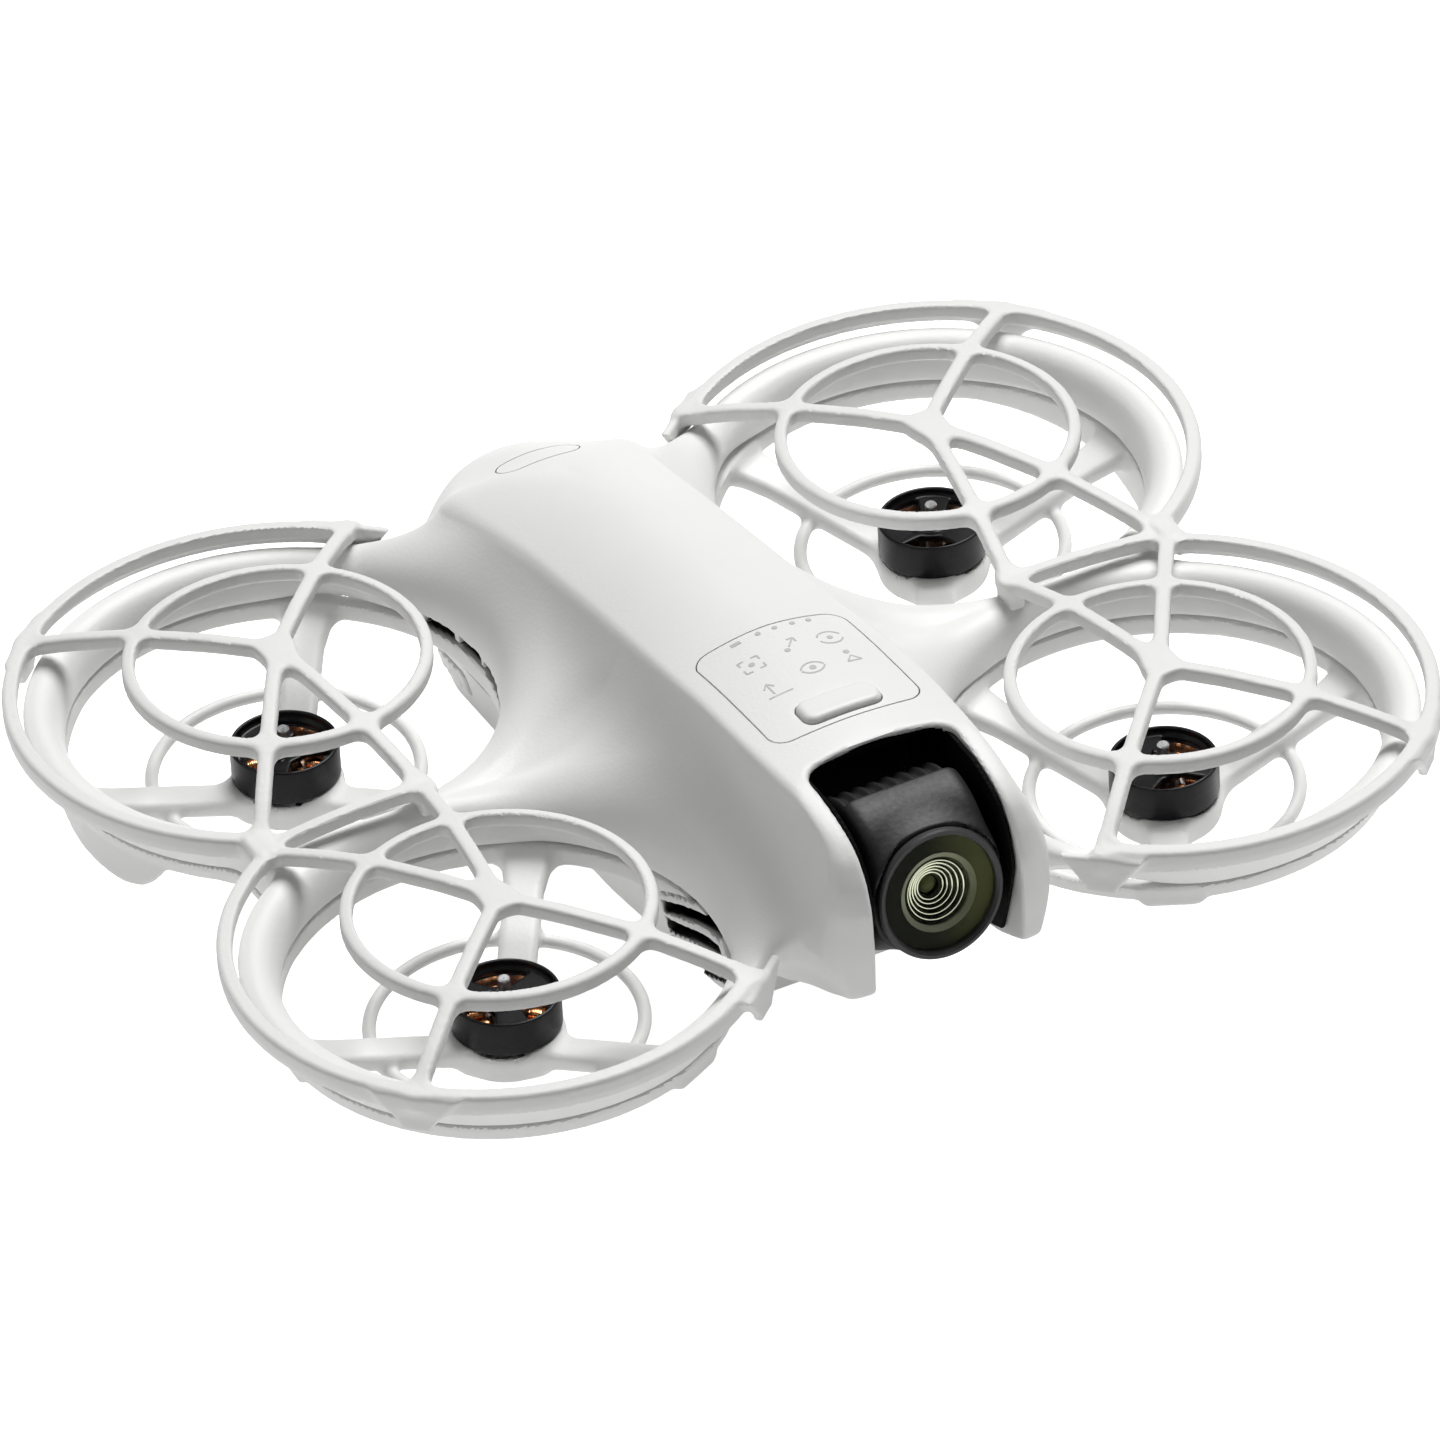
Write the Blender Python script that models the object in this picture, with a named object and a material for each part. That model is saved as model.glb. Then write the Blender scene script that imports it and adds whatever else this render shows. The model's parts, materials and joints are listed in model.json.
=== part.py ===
"""Small ducted four-rotor drone with a tilting camera, modelled in metres.

+Z is up, the nose points along -Y and the drone's left side is +X.  The
origin lies on the ground, under the point midway between the four rotors.
Lengths in this file are millimetres; to_metres() scales the finished model.
"""
import math

import bmesh
import bpy
from mathutils import Matrix, Vector

MM = 0.001
TURN = 2.0 * math.pi

# Layout of the four rotors
ROTOR_X = 45.0
ROTOR_Y = 29.5

# Ducts: a straight bore with a bell-mouth lip on the upper shell
DUCT_R = 26.6
LIP_R = 30.2
LIP_OUTER_R = 31.5
LIP_Z = 28.9
LIP_FOOT_R = 28.9
DUCT_FLOOR_Z = 20.4
DUCT_SEGMENTS = 28

# Parting plane between the upper shell and the lower frame
SEAM_Z = 23.2
GAP = 0.3
LOWER_TOP_Z = SEAM_Z - GAP

# Web between the front and the rear duct of each side
WEB_X = 63.0
WEB_HALF_Y = 9.0
SADDLE_Z = 28.1
LOWER_WEB_Z = 21.6

# Fuselage skin
SKIN = 1.4

# Camera bay and tilting camera
BAY_HALF = 9.9
BAY_ROOF_Y = -40.9
LINER_HALF = 9.6
LINER_WALL = 0.4
PIVOT_Y = -46.5
PIVOT_Z = 35.4
REST_TILT = math.radians(12.0)
BARREL_R = 10.3
BARREL_HALF = 8.0
LENS_DROP = 1.9
LENS_FRONT = 10.5
LENS_RING_R = 8.25
LENS_GLASS_R = 7.0
LENS_WELL_R = 6.6

# Motors
CUP_R = 7.2
CUP_Z = 12.1
CUP_TOP_Z = 16.2
CUP_FLOOR_Z = 13.2
BELL_R = 6.75
BELL_WALL_R = 6.2
BELL_Z = 16.5
BELL_TOP_Z = 21.1
BELL_PLATE_Z = 19.8
SHAFT_R = 0.75
SHAFT_TOP_Z = 23.3

# Spokes and the thin ring that carry and protect each motor
SPOKE_ANGLES = (3.0, 123.0, 243.0)
SPOKE_WIDTH = 4.6
SPOKE_HEIGHT = 2.6
HOOP_R = 16.5
HOOP_Z = 16.6
HOOP_TUBE_R = 0.85

# Guards: a shallow dome of bars over each pair of ducts
GUARD_HUB_Z = 35.8
GUARD_RING_R = 18.2
GUARD_RING_Z = 33.9
GUARD_RIM_R = 32.7
GUARD_RIM_Z = 30.8
GUARD_BAR = 1.7
GUARD_DEPTH = 2.3
GUARD_CLIP_Z = 25.2
GUARD_SPOKES = (131.7, 45.2)
GUARD_RIM_END = -56.0
GUARD_INNER_X = 40.5
GUARD_OUTER_X = 62.0

# Belly: battery and front belly cover below the frame's floor
FLOOR_Z = 11.0
FLOOR_T = 1.2
BELLY_TOP_Z = 10.7
BATTERY_FRONT_Y = -7.8
BATTERY_REAR_Y = 58.0
BATTERY_WALL = 1.0

# Screws that join the two shells at the webs, on each side
SCREW_X = (30.0, 59.0)
SCREW_HOLE_R = 1.1

# Buttons
MODE_BUTTON_Y = -32.0
MODE_BUTTON_LENGTH = 9.8
MODE_BUTTON_WIDTH = 4.0
BUTTON_DEPTH = 2.0
BUTTON_PROUD = 0.5
POWER_BUTTON_Y = 47.3
POWER_BUTTON_LENGTH = 11.0
POWER_BUTTON_WIDTH = 4.4

CORNERS = {
    "front_left": (1, -1),
    "front_right": (-1, -1),
    "rear_left": (1, 1),
    "rear_right": (-1, 1),
}

# Fuselage stations: y, half width at the ridge, ridge height, top height,
# half width at the foot, foot height
STATIONS = (
    (-58.0, 11.3, 33.0, 35.5, 11.3, 26.0),
    (-56.4, 11.8, 39.6, 41.6, 12.2, 24.6),
    (-53.6, 12.1, 42.6, 44.3, 12.8, 23.4),
    (-49.0, 12.4, 45.6, 46.9, 13.8, 21.8),
    (-43.0, 12.7, 46.9, 48.0, 15.4, 20.4),
    (-38.6, 12.9, 47.1, 48.4, 17.6, 23.2),
    (-30.0, 13.0, 46.9, 48.5, 20.0, 23.2),
    (-18.0, 12.9, 45.8, 48.1, 20.6, 23.2),
    (-6.0, 12.6, 43.9, 47.3, 22.0, 23.2),
    (8.0, 12.4, 41.8, 45.9, 22.0, 23.2),
    (22.0, 12.2, 39.4, 43.4, 20.0, 23.2),
    (34.0, 12.0, 37.2, 40.5, 19.4, 23.2),
    (45.0, 11.2, 34.6, 37.0, 16.5, 23.2),
    (52.0, 9.8, 31.6, 34.0, 13.8, 23.2),
    (57.0, 7.4, 28.4, 30.4, 10.5, 23.2),
    (60.0, 5.0, 25.0, 26.4, 6.5, 23.2),
)


# ---------------------------------------------------------------- helpers

def clear_scene():
    for obj in list(bpy.data.objects):
        bpy.data.objects.remove(obj, do_unlink=True)


def material(name, colour, roughness, metallic=0.0):
    mat = bpy.data.materials.new(name)
    mat.use_nodes = True
    shader = mat.node_tree.nodes["Principled BSDF"]
    shader.inputs["Base Color"].default_value = (*colour, 1.0)
    shader.inputs["Roughness"].default_value = roughness
    shader.inputs["Metallic"].default_value = metallic
    return mat


def to_object(name, bm, mat):
    """Put a bmesh in the scene, still in millimetres, with normals outward."""
    bmesh.ops.recalc_face_normals(bm, faces=bm.faces)
    mesh = bpy.data.meshes.new(name)
    bm.to_mesh(mesh)
    bm.free()
    mesh.materials.append(mat)
    obj = bpy.data.objects.new(name, mesh)
    bpy.context.collection.objects.link(obj)
    return obj


def to_metres():
    """Merge flat facets and turn the model from millimetres into metres."""
    for obj in bpy.data.objects:
        bm = bmesh.new()
        bm.from_mesh(obj.data)
        bmesh.ops.dissolve_limit(bm, angle_limit=math.radians(0.6), verts=bm.verts, edges=bm.edges)
        bmesh.ops.triangulate(bm, faces=bm.faces)
        bm.to_mesh(obj.data)
        bm.free()
        obj.data.transform(Matrix.Scale(MM, 4))
        obj.location *= MM


def smooth(obj, degrees=35.0):
    obj.data.shade_smooth()
    obj.data.set_sharp_from_angle(angle=math.radians(degrees))
    return obj


def boolean(target, tool, operation):
    """Join the tool to the target, or cut it out, and drop the tool.

    The duct lips overlap in one plane, which EXACT leaves open, so the solver
    is MANIFOLD.
    """
    step = target.modifiers.new("step", "BOOLEAN")
    step.operation = operation
    step.solver = "MANIFOLD"
    step.object = tool
    graph = bpy.context.evaluated_depsgraph_get()
    result = bpy.data.meshes.new_from_object(target.evaluated_get(graph))
    target.modifiers.clear()
    target.data = result
    bpy.data.objects.remove(tool, do_unlink=True)
    return target


def join(target, *tools):
    for tool in tools:
        boolean(target, tool, "UNION")
    return target


def cut(target, *tools):
    for tool in tools:
        boolean(target, tool, "DIFFERENCE")
    return target


def turned(name, profile, mat, segments, centre=(0.0, 0.0, 0.0), hollow=False):
    """Spin a profile of (radius, z) round Z.  A hollow profile is a loop."""
    bm = bmesh.new()
    verts = [bm.verts.new((radius, 0.0, z)) for radius, z in profile]
    edges = [bm.edges.new(pair) for pair in zip(verts, verts[1:])]
    if hollow:
        edges.append(bm.edges.new((verts[-1], verts[0])))
    bmesh.ops.spin(bm, geom=verts + edges, cent=(0, 0, 0), axis=(0, 0, 1),
                   dvec=(0, 0, 0), angle=TURN, steps=segments, use_merge=True)
    bmesh.ops.remove_doubles(bm, verts=bm.verts, dist=0.0001)
    if not hollow:
        bmesh.ops.holes_fill(bm, edges=bm.edges, sides=0)
    bmesh.ops.translate(bm, vec=centre, verts=bm.verts)
    return smooth(to_object(name, bm, mat))


def prism(name, outline, low, high, mat, axis="Z"):
    """Extrude an outline along Z, or along X for an outline of (y, z)."""
    bm = bmesh.new()
    if axis == "Z":
        verts = [bm.verts.new((a, b, low)) for a, b in outline]
        shift = (0.0, 0.0, high - low)
    else:
        verts = [bm.verts.new((low, a, b)) for a, b in outline]
        shift = (high - low, 0.0, 0.0)
    face = bm.faces.new(verts)
    moved = bmesh.ops.extrude_face_region(bm, geom=[face])["geom"]
    top = [item for item in moved if isinstance(item, bmesh.types.BMVert)]
    bmesh.ops.translate(bm, vec=shift, verts=top)
    return to_object(name, bm, mat)


def block(name, low, high, mat):
    outline = ((low[0], low[1]), (high[0], low[1]), (high[0], high[1]), (low[0], high[1]))
    return prism(name, outline, low[2], high[2], mat)


def loft(name, sections, mat):
    """Skin a row of closed sections that all have the same point count."""
    bm = bmesh.new()
    rings = [[bm.verts.new(point) for point in section] for section in sections]
    bm.faces.new(rings[0])
    bm.faces.new(list(reversed(rings[-1])))
    for ring, following in zip(rings, rings[1:]):
        count = len(ring)
        for index in range(count):
            after = (index + 1) % count
            bm.faces.new((ring[index], ring[after], following[after], following[index]))
    return to_object(name, bm, mat)


def bar(name, points, mat, width=GUARD_BAR, closed=False):
    """A flat bar whose upper edge follows points of (x, y, top, depth)."""
    sections = []
    count = len(points)
    for index, (x, y, top, depth) in enumerate(points):
        if closed:
            before, after = points[index - 1], points[(index + 1) % count]
        else:
            before, after = points[max(index - 1, 0)], points[min(index + 1, count - 1)]
        along = Vector((after[0] - before[0], after[1] - before[1])).normalized()
        side = Vector((-along.y, along.x)) * (width / 2.0)
        sections.append((
            (x + side.x, y + side.y, top),
            (x + side.x, y + side.y, top - depth),
            (x - side.x, y - side.y, top - depth),
            (x - side.x, y - side.y, top),
        ))
    if not closed:
        return loft(name, sections, mat)
    bm = bmesh.new()
    rings = [[bm.verts.new(point) for point in section] for section in sections]
    for index, ring in enumerate(rings):
        following = rings[(index + 1) % count]
        for corner in range(4):
            after = (corner + 1) % 4
            bm.faces.new((ring[corner], ring[after], following[after], following[corner]))
    return to_object(name, bm, mat)


def pill(length, width, steps=5):
    """Outline of a slot with round ends, long side along X."""
    radius = width / 2.0
    reach = length / 2.0 - radius
    outline = []
    for side in (1, -1):
        for step in range(steps + 1):
            angle = side * math.pi / 2.0 - math.pi * (step / steps)
            if side == 1:
                outline.append((reach + radius * math.cos(angle), radius * math.sin(angle)))
            else:
                outline.append((-reach + radius * math.cos(angle), radius * math.sin(angle)))
    return outline


def place(obj, matrix):
    """Bake a placement into the object's mesh."""
    obj.data.transform(matrix)
    return obj


def set_origin(obj, x, y, z):
    """Move the object's origin and leave its mesh in place."""
    point = Vector((x, y, z))
    obj.data.transform(Matrix.Translation(-point))
    obj.location = point
    return obj


def around(side, end, radius, degrees):
    """A point at an angle from a rotor, measured from straight outward."""
    angle = math.radians(degrees)
    x = side * (ROTOR_X + radius * math.cos(angle))
    y = end * (ROTOR_Y + radius * math.sin(angle))
    return x, y


def top_height(x, y):
    """Height of the fuselage's crowned top at a point between its ridges."""
    for near, far in zip(STATIONS, STATIONS[1:]):
        if near[0] <= y <= far[0]:
            break
    share = (y - near[0]) / (far[0] - near[0])
    ridge_x, ridge_z, top_z = (near[i] + share * (far[i] - near[i]) for i in (1, 2, 3))
    drop = top_z - ridge_z
    return top_z - drop * (abs(x) / ridge_x) ** 2.6


def fuselage_section(station, inset=0.0, foot=None):
    """Closed section of the fuselage at one station."""
    y, ridge_x, ridge_z, top_z, foot_x, foot_z = station
    if foot is not None:
        foot_z = foot
        foot_x = min(foot_x, 18.2)
    ridge_x -= inset
    foot_x -= inset
    ridge_z -= inset
    top_z -= inset
    drop = top_z - ridge_z
    waist_x = foot_x + (ridge_x - foot_x) * 0.64
    waist_z = foot_z + (ridge_z - foot_z) * 0.42
    half = [
        (foot_x, foot_z),
        (waist_x, waist_z),
        (ridge_x, ridge_z - 1.2),
        (ridge_x * 0.93, ridge_z + drop * 0.22),
        (ridge_x * 0.75, top_z - drop * 0.75 ** 2.6),
        (ridge_x * 0.42, top_z - drop * 0.42 ** 2.6),
    ]
    right = [(x, y, z) for x, z in half]
    left = [(-x, y, z) for x, z in reversed(half)]
    return right + [(0.0, y, top_z)] + left


def bores(mat, low=5.0, high=60.0):
    """Four straight duct bores, used to cut."""
    profile = ((0.0, low), (DUCT_R, low), (DUCT_R, high), (0.0, high))
    return [
        turned("bore", profile, mat, DUCT_SEGMENTS, (side * ROTOR_X, end * ROTOR_Y, 0.0))
        for side, end in CORNERS.values()
    ]


# ------------------------------------------------------------- airframe

def upper_shell(mat):
    """Fuselage cover and the bell-mouth lips of the ducts, in one moulding."""
    centres = [(side * ROTOR_X, end * ROTOR_Y, 0.0) for side, end in CORNERS.values()]
    foot = SEAM_Z - 1.5
    disc = (
        (0.0, foot), (LIP_FOOT_R - 0.7, foot), (LIP_OUTER_R - 0.2, 26.2),
        (LIP_OUTER_R, LIP_Z - 0.8), (LIP_OUTER_R - 0.7, LIP_Z), (0.0, LIP_Z),
    )
    mouth = [(0.0, foot - 5.0), (DUCT_R, foot - 5.0)]
    for step in range(5):
        angle = math.radians(22.5 * step)
        radius = LIP_R - (LIP_R - DUCT_R) * math.cos(angle)
        mouth.append((radius, SEAM_Z + 0.6 + (LIP_Z + 0.3 - SEAM_Z - 0.6) * math.sin(angle)))
    mouth += [(LIP_R, LIP_Z + 35.0), (0.0, LIP_Z + 35.0)]
    body = loft("upper_shell", [fuselage_section(station) for station in STATIONS], mat)
    join(body, block("web", (-WEB_X, -WEB_HALF_Y, foot - 0.4), (WEB_X, WEB_HALF_Y, SADDLE_Z), mat))
    for centre in centres:
        join(body, turned("disc", disc, mat, DUCT_SEGMENTS, centre))
    for centre in centres:
        cut(body, turned("mouth", mouth, mat, DUCT_SEGMENTS, centre))
    for side in (1, -1):
        low_x, high_x = sorted((side * 33.0, side * (WEB_X + 5.0)))
        cut(body, block("saddle", (low_x, -3.6, SADDLE_Z - 0.3), (high_x, 3.6, LIP_Z + 5.0), mat))
    hollow = [station for station in STATIONS if BAY_ROOF_Y < station[0] < 59.0]
    first = (BAY_ROOF_Y - 1.0,) + hollow[0][1:]
    last = (58.2, 6.0, 26.6, 28.2, 8.8, SEAM_Z)
    sections = [fuselage_section(station, SKIN, SEAM_Z - 5.0) for station in (first, *hollow, last)]
    cut(body, loft("inside", sections, mat))
    bay = ((-70.0, 10.0), (BAY_ROOF_Y, 10.0), (BAY_ROOF_Y, 60.0), (-70.0, 60.0))
    cut(body, prism("bay", bay, -BAY_HALF, BAY_HALF, mat, "X"))
    cut(body, block("below", (-90.0, BAY_ROOF_Y + 2.0, 0.0), (90.0, 90.0, SEAM_Z), mat))
    for side in (1, -1):
        low_x, high_x = sorted((side * 16.8, side * 90.0))
        cut(body, block("below", (low_x, -90.0, 0.0), (high_x, BAY_ROOF_Y + 3.0, SEAM_Z), mat))
    cut(body, block("window", (-10.3, -35.6, 40.0), (10.3, -13.1, 55.0), mat))
    cut(body, power_button_solid(mat, "button_hole", GAP, 6.0, 2.0))
    for side in (1, -1):
        for x in SCREW_X:
            low = SEAM_Z - 1.0
            hole = ((0.0, low), (SCREW_HOLE_R, low), (SCREW_HOLE_R, 26.4), (0.0, 26.4))
            cut(body, turned("screw_hole", hole, mat, 10, (side * x, 0.0, 0.0)))
    return smooth(body)


def rotor_carrier(side, end, mat):
    """Motor cup, three spokes and the hoop of one corner."""
    centre = (side * ROTOR_X, end * ROTOR_Y, 0.0)
    cup = (
        (0.0, CUP_Z), (CUP_R - 1.2, CUP_Z), (CUP_R - 0.2, CUP_Z + 1.4), (CUP_R, CUP_TOP_Z),
        (BELL_WALL_R, CUP_TOP_Z), (BELL_WALL_R, CUP_FLOOR_Z), (0.0, CUP_FLOOR_Z),
    )
    hub = turned("cup", cup, mat, 16, centre)
    for angle in SPOKE_ANGLES:
        degrees = math.radians(angle)
        out = Vector((side * math.cos(degrees), math.sin(degrees)))
        across = Vector((-out.y, out.x)) * (SPOKE_WIDTH / 2.0)
        sections = []
        for radius, top in ((CUP_R - 0.6, CUP_TOP_Z - 0.2), (DUCT_R + 0.9, LOWER_TOP_Z - 0.3)):
            middle = Vector((centre[0], centre[1])) + out * radius
            corners = ((1, 0.0), (-1, 0.0), (-1, SPOKE_HEIGHT), (1, SPOKE_HEIGHT))
            sections.append([
                (middle.x + sign * across.x, middle.y + sign * across.y, top - down)
                for sign, down in corners
            ])
        join(hub, loft("spoke", sections, mat))
    hoop = []
    for step in range(4):
        angle = TURN * (step + 0.5) / 4.0
        radius = HOOP_R + HOOP_TUBE_R * math.cos(angle)
        hoop.append((radius, HOOP_Z + HOOP_TUBE_R * math.sin(angle)))
    return join(hub, turned("hoop", hoop, mat, 24, centre, hollow=True))


def tub_ring(half, front, tail, z):
    """Plan of the fuselage's lower tub at one height."""
    return [
        (half - 3.5, front, z), (half, front + 6.0, z), (half, 34.0, z),
        (half - 2.6, 44.0, z), (half - 6.6, tail - 4.0, z), (half - 12.0, tail, z),
        (12.0 - half, tail, z), (6.6 - half, tail - 4.0, z), (2.6 - half, 44.0, z),
        (-half, 34.0, z), (-half, front + 6.0, z), (3.5 - half, front, z),
    ]


def lower_frame(mat):
    """Tub of the fuselage, lower webs, duct walls, spokes and motor cups."""
    over = LOWER_TOP_Z + 1.5
    wall = (
        (0.0, DUCT_FLOOR_Z), (DUCT_R + 1.3, DUCT_FLOOR_Z),
        (LIP_FOOT_R, LOWER_TOP_Z), (LIP_FOOT_R, over), (0.0, over),
    )
    tub = loft("lower_frame", [
        tub_ring(17.6, -31.5, 56.0, FLOOR_Z), tub_ring(18.8, -37.8, 57.6, over + 0.3),
    ], mat)
    join(tub, block("web", (-WEB_X, -WEB_HALF_Y, LOWER_WEB_Z), (WEB_X, WEB_HALF_Y, over + 0.6), mat))
    for side, end in CORNERS.values():
        join(tub, turned("wall", wall, mat, DUCT_SEGMENTS, (side * ROTOR_X, end * ROTOR_Y, 0.0)))
    cut(tub, loft("inside", [
        tub_ring(16.2, -30.2, 54.8, FLOOR_Z + FLOOR_T), tub_ring(17.0, -36.4, 56.2, over + 2.0),
    ], mat))
    cut(tub, *bores(mat))
    cut(tub, block("above", (-90.0, -90.0, LOWER_TOP_Z), (90.0, 90.0, 40.0), mat))
    for side, end in CORNERS.values():
        join(tub, rotor_carrier(side, end, mat))
    for side in (1, -1):
        low_x, high_x = sorted((side * 15.0, side * 22.0))
        for row in range(3):
            low = 13.4 + 2.8 * row
            cut(tub, block("louvre", (low_x, -33.4, low), (high_x, -23.4, low + 1.7), mat))
            near = 21.8 + 5.4 * row
            cut(tub, block("vent", (low_x, near, 19.6), (high_x, near + 4.4, 21.4), mat))
        for x in SCREW_X:
            low = LOWER_WEB_Z - 1.0
            hole = ((0.0, low), (SCREW_HOLE_R, low), (SCREW_HOLE_R, SEAM_Z), (0.0, SEAM_Z))
            cut(tub, turned("screw_hole", hole, mat, 10, (side * x, 0.0, 0.0)))
    cut(tub, block("port_hole", (-4.9, 50.0, 15.2), (4.9, 60.0, 19.0), mat))
    return smooth(tub)


def belly_section(y, low, top=BELLY_TOP_Z, inset=0.0):
    """Half hexagon under the floor: narrow at the bottom, wide at the top."""
    slope = (15.6 - 10.0) / BELLY_TOP_Z
    foot = 10.0 + slope * low - inset
    head = 15.6 - inset
    return [
        (foot - 1.2, y, low + inset), (foot, y, low + inset + 1.0), (head, y, top),
        (-head, y, top), (-foot, y, low + inset + 1.0), (1.2 - foot, y, low + inset),
    ]


def belly_pan(mat):
    """Front belly cover, with the opening of the downward sensors."""
    pan = loft("belly_pan", [
        belly_section(-31.0, 8.4), belly_section(-15.6, 0.0), belly_section(-8.2, 0.0),
    ], mat)
    cut(pan, loft("inside", [
        belly_section(-29.0, 8.4, BELLY_TOP_Z + 1.0, 1.0),
        belly_section(-15.4, 0.0, BELLY_TOP_Z + 1.0, 1.0),
        belly_section(-9.4, 0.0, BELLY_TOP_Z + 1.0, 1.0),
    ], mat))
    cut(pan, block("opening", (-4.8, -14.2, -1.0), (4.8, -9.8, 3.0), mat))
    return pan


def control_panel(mat):
    """Crowned plate that fills the window in the fuselage's top."""
    sections = []
    for y in (-35.3, -31.0, -24.0, -18.0, -13.4):
        upper = [(x, y, top_height(x, y)) for x in (10.0, 7.5, 4.0, 0.0, -4.0, -7.5, -10.0)]
        lower = [(x, y, z - 1.2) for x, y, z in reversed(upper)]
        sections.append(upper + lower)
    panel = loft("control_panel", sections, mat)
    margin = 2.0 * GAP
    hole_outline = pill(MODE_BUTTON_LENGTH + margin, MODE_BUTTON_WIDTH + margin)
    hole = [(x, y + MODE_BUTTON_Y) for x, y in hole_outline]
    return cut(panel, prism("button_hole", hole, 40.0, 55.0, mat))


def mode_button(mat):
    outline = [(x, y + MODE_BUTTON_Y) for x, y in pill(MODE_BUTTON_LENGTH, MODE_BUTTON_WIDTH)]
    top = top_height(0.0, MODE_BUTTON_Y)
    return prism("mode_button", outline, top - BUTTON_DEPTH, top + BUTTON_PROUD, mat)


def power_button_solid(mat, name, margin, up, down):
    """Pill that stands square to the sloping tail, or the hole for it."""
    outline = pill(POWER_BUTTON_LENGTH + 2.0 * margin, POWER_BUTTON_WIDTH + 2.0 * margin)
    obj = prism(name, outline, -down, up, mat)
    ahead = top_height(0.0, POWER_BUTTON_Y - 2.0)
    behind = top_height(0.0, POWER_BUTTON_Y + 2.0)
    slope = math.atan2(behind - ahead, 4.0)
    middle = Vector((0.0, POWER_BUTTON_Y, (ahead + behind) / 2.0))
    return place(obj, Matrix.Translation(middle) @ Matrix.Rotation(slope, 4, "X"))


def light_guide(mat):
    """Clear strip under the row of level lights."""
    return block("level_light_guide", (-6.4, -16.2, 44.6), (6.4, -14.2, 45.8), mat)


def bay_liner(mat):
    """Black inner wall of the camera bay."""
    side = (
        (-31.0, 24.2), (-31.0, 45.5), (-40.6, 46.0), (-47.0, 44.4), (-52.2, 41.0),
        (-54.8, 36.0), (-55.2, 29.0), (-52.0, 25.6), (-44.0, 24.2),
    )
    room = (
        (-32.0, 20.0), (-32.0, 44.8), (-40.2, 45.2), (-40.2, 60.0), (-70.0, 60.0), (-70.0, 20.0),
    )
    liner = prism("bay_liner", side, -LINER_HALF, LINER_HALF, mat, "X")
    inner_half = LINER_HALF - LINER_WALL
    return cut(liner, prism("room", room, -inner_half, inner_half, mat, "X"))


# -------------------------------------------------------------- camera

def tilted(obj):
    """Turn a camera part from its level, origin-centred pose into place."""
    pivot = Vector((0.0, PIVOT_Y, PIVOT_Z))
    return place(obj, Matrix.Translation(pivot) @ Matrix.Rotation(-REST_TILT, 4, "X"))


def lying(name, profile, mat, segments, hollow=False):
    """A turned part whose axis is the lens axis; z in the profile is forward."""
    obj = turned(name, profile, mat, segments, hollow=hollow)
    turn = Matrix.Rotation(math.pi / 2.0, 4, "X")
    return place(obj, Matrix.Translation((0.0, 0.0, -LENS_DROP)) @ turn)


def crosswise(name, profile, mat, segments):
    """A turned part whose axis is the pivot axis; z in the profile is +X."""
    obj = turned(name, profile, mat, segments)
    return place(obj, Matrix.Rotation(math.pi / 2.0, 4, "Y"))


def camera_housing(mat):
    barrel = (
        (0.0, -BARREL_HALF), (BARREL_R - 1.2, -BARREL_HALF), (BARREL_R, 1.2 - BARREL_HALF),
        (BARREL_R, BARREL_HALF - 1.2), (BARREL_R - 1.2, BARREL_HALF), (0.0, BARREL_HALF),
    )
    body = crosswise("camera_housing", barrel, mat, 28)
    seat = LENS_FRONT - 1.4
    tube = ((0.0, 2.0), (LENS_RING_R, 2.0), (LENS_RING_R, seat), (0.0, seat))
    join(body, lying("tube", tube, mat, 28))
    mouth_r = LENS_RING_R + 1.0
    well = (
        (0.0, 0.4), (LENS_WELL_R, 0.4), (LENS_WELL_R, seat), (mouth_r, seat), (mouth_r, 20.0), (0.0, 20.0),
    )
    cut(body, lying("well", well, mat, 28))
    for low, high in ((6.3, 12.0), (-12.0, -6.3)):
        hole = ((0.0, low), (1.6, low), (1.6, high), (0.0, high))
        cut(body, crosswise("pin_hole", hole, mat, 12))
    return smooth(tilted(body))


def lens_parts(ring_mat, glass_mat, barrel_mat, board_mat):
    ring = (
        (LENS_GLASS_R + 0.3, LENS_FRONT - 1.1), (LENS_RING_R, LENS_FRONT - 1.1),
        (LENS_RING_R, LENS_FRONT - 0.3), (LENS_RING_R - 0.4, LENS_FRONT),
        (LENS_GLASS_R + 0.3, LENS_FRONT),
    )
    glass = (
        (0.0, LENS_FRONT - 1.1), (LENS_GLASS_R, LENS_FRONT - 1.1),
        (LENS_GLASS_R, LENS_FRONT - 0.4), (0.0, LENS_FRONT - 0.4),
    )
    barrel = (
        (0.0, 3.4), (4.4, 3.4), (4.4, 6.4), (5.2, 6.4), (5.2, 8.6), (3.4, 8.6), (2.2, 6.6), (0.0, 6.6),
    )
    tilted(lying("lens_ring", ring, ring_mat, 28, hollow=True))
    tilted(lying("lens_glass", glass, glass_mat, 28))
    tilted(lying("lens_barrel", barrel, barrel_mat, 20))
    low = (-4.4, -2.0, -LENS_DROP - 4.4)
    high = (4.4, -1.0, -LENS_DROP + 4.4)
    tilted(block("image_sensor_board", low, high, board_mat))


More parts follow.
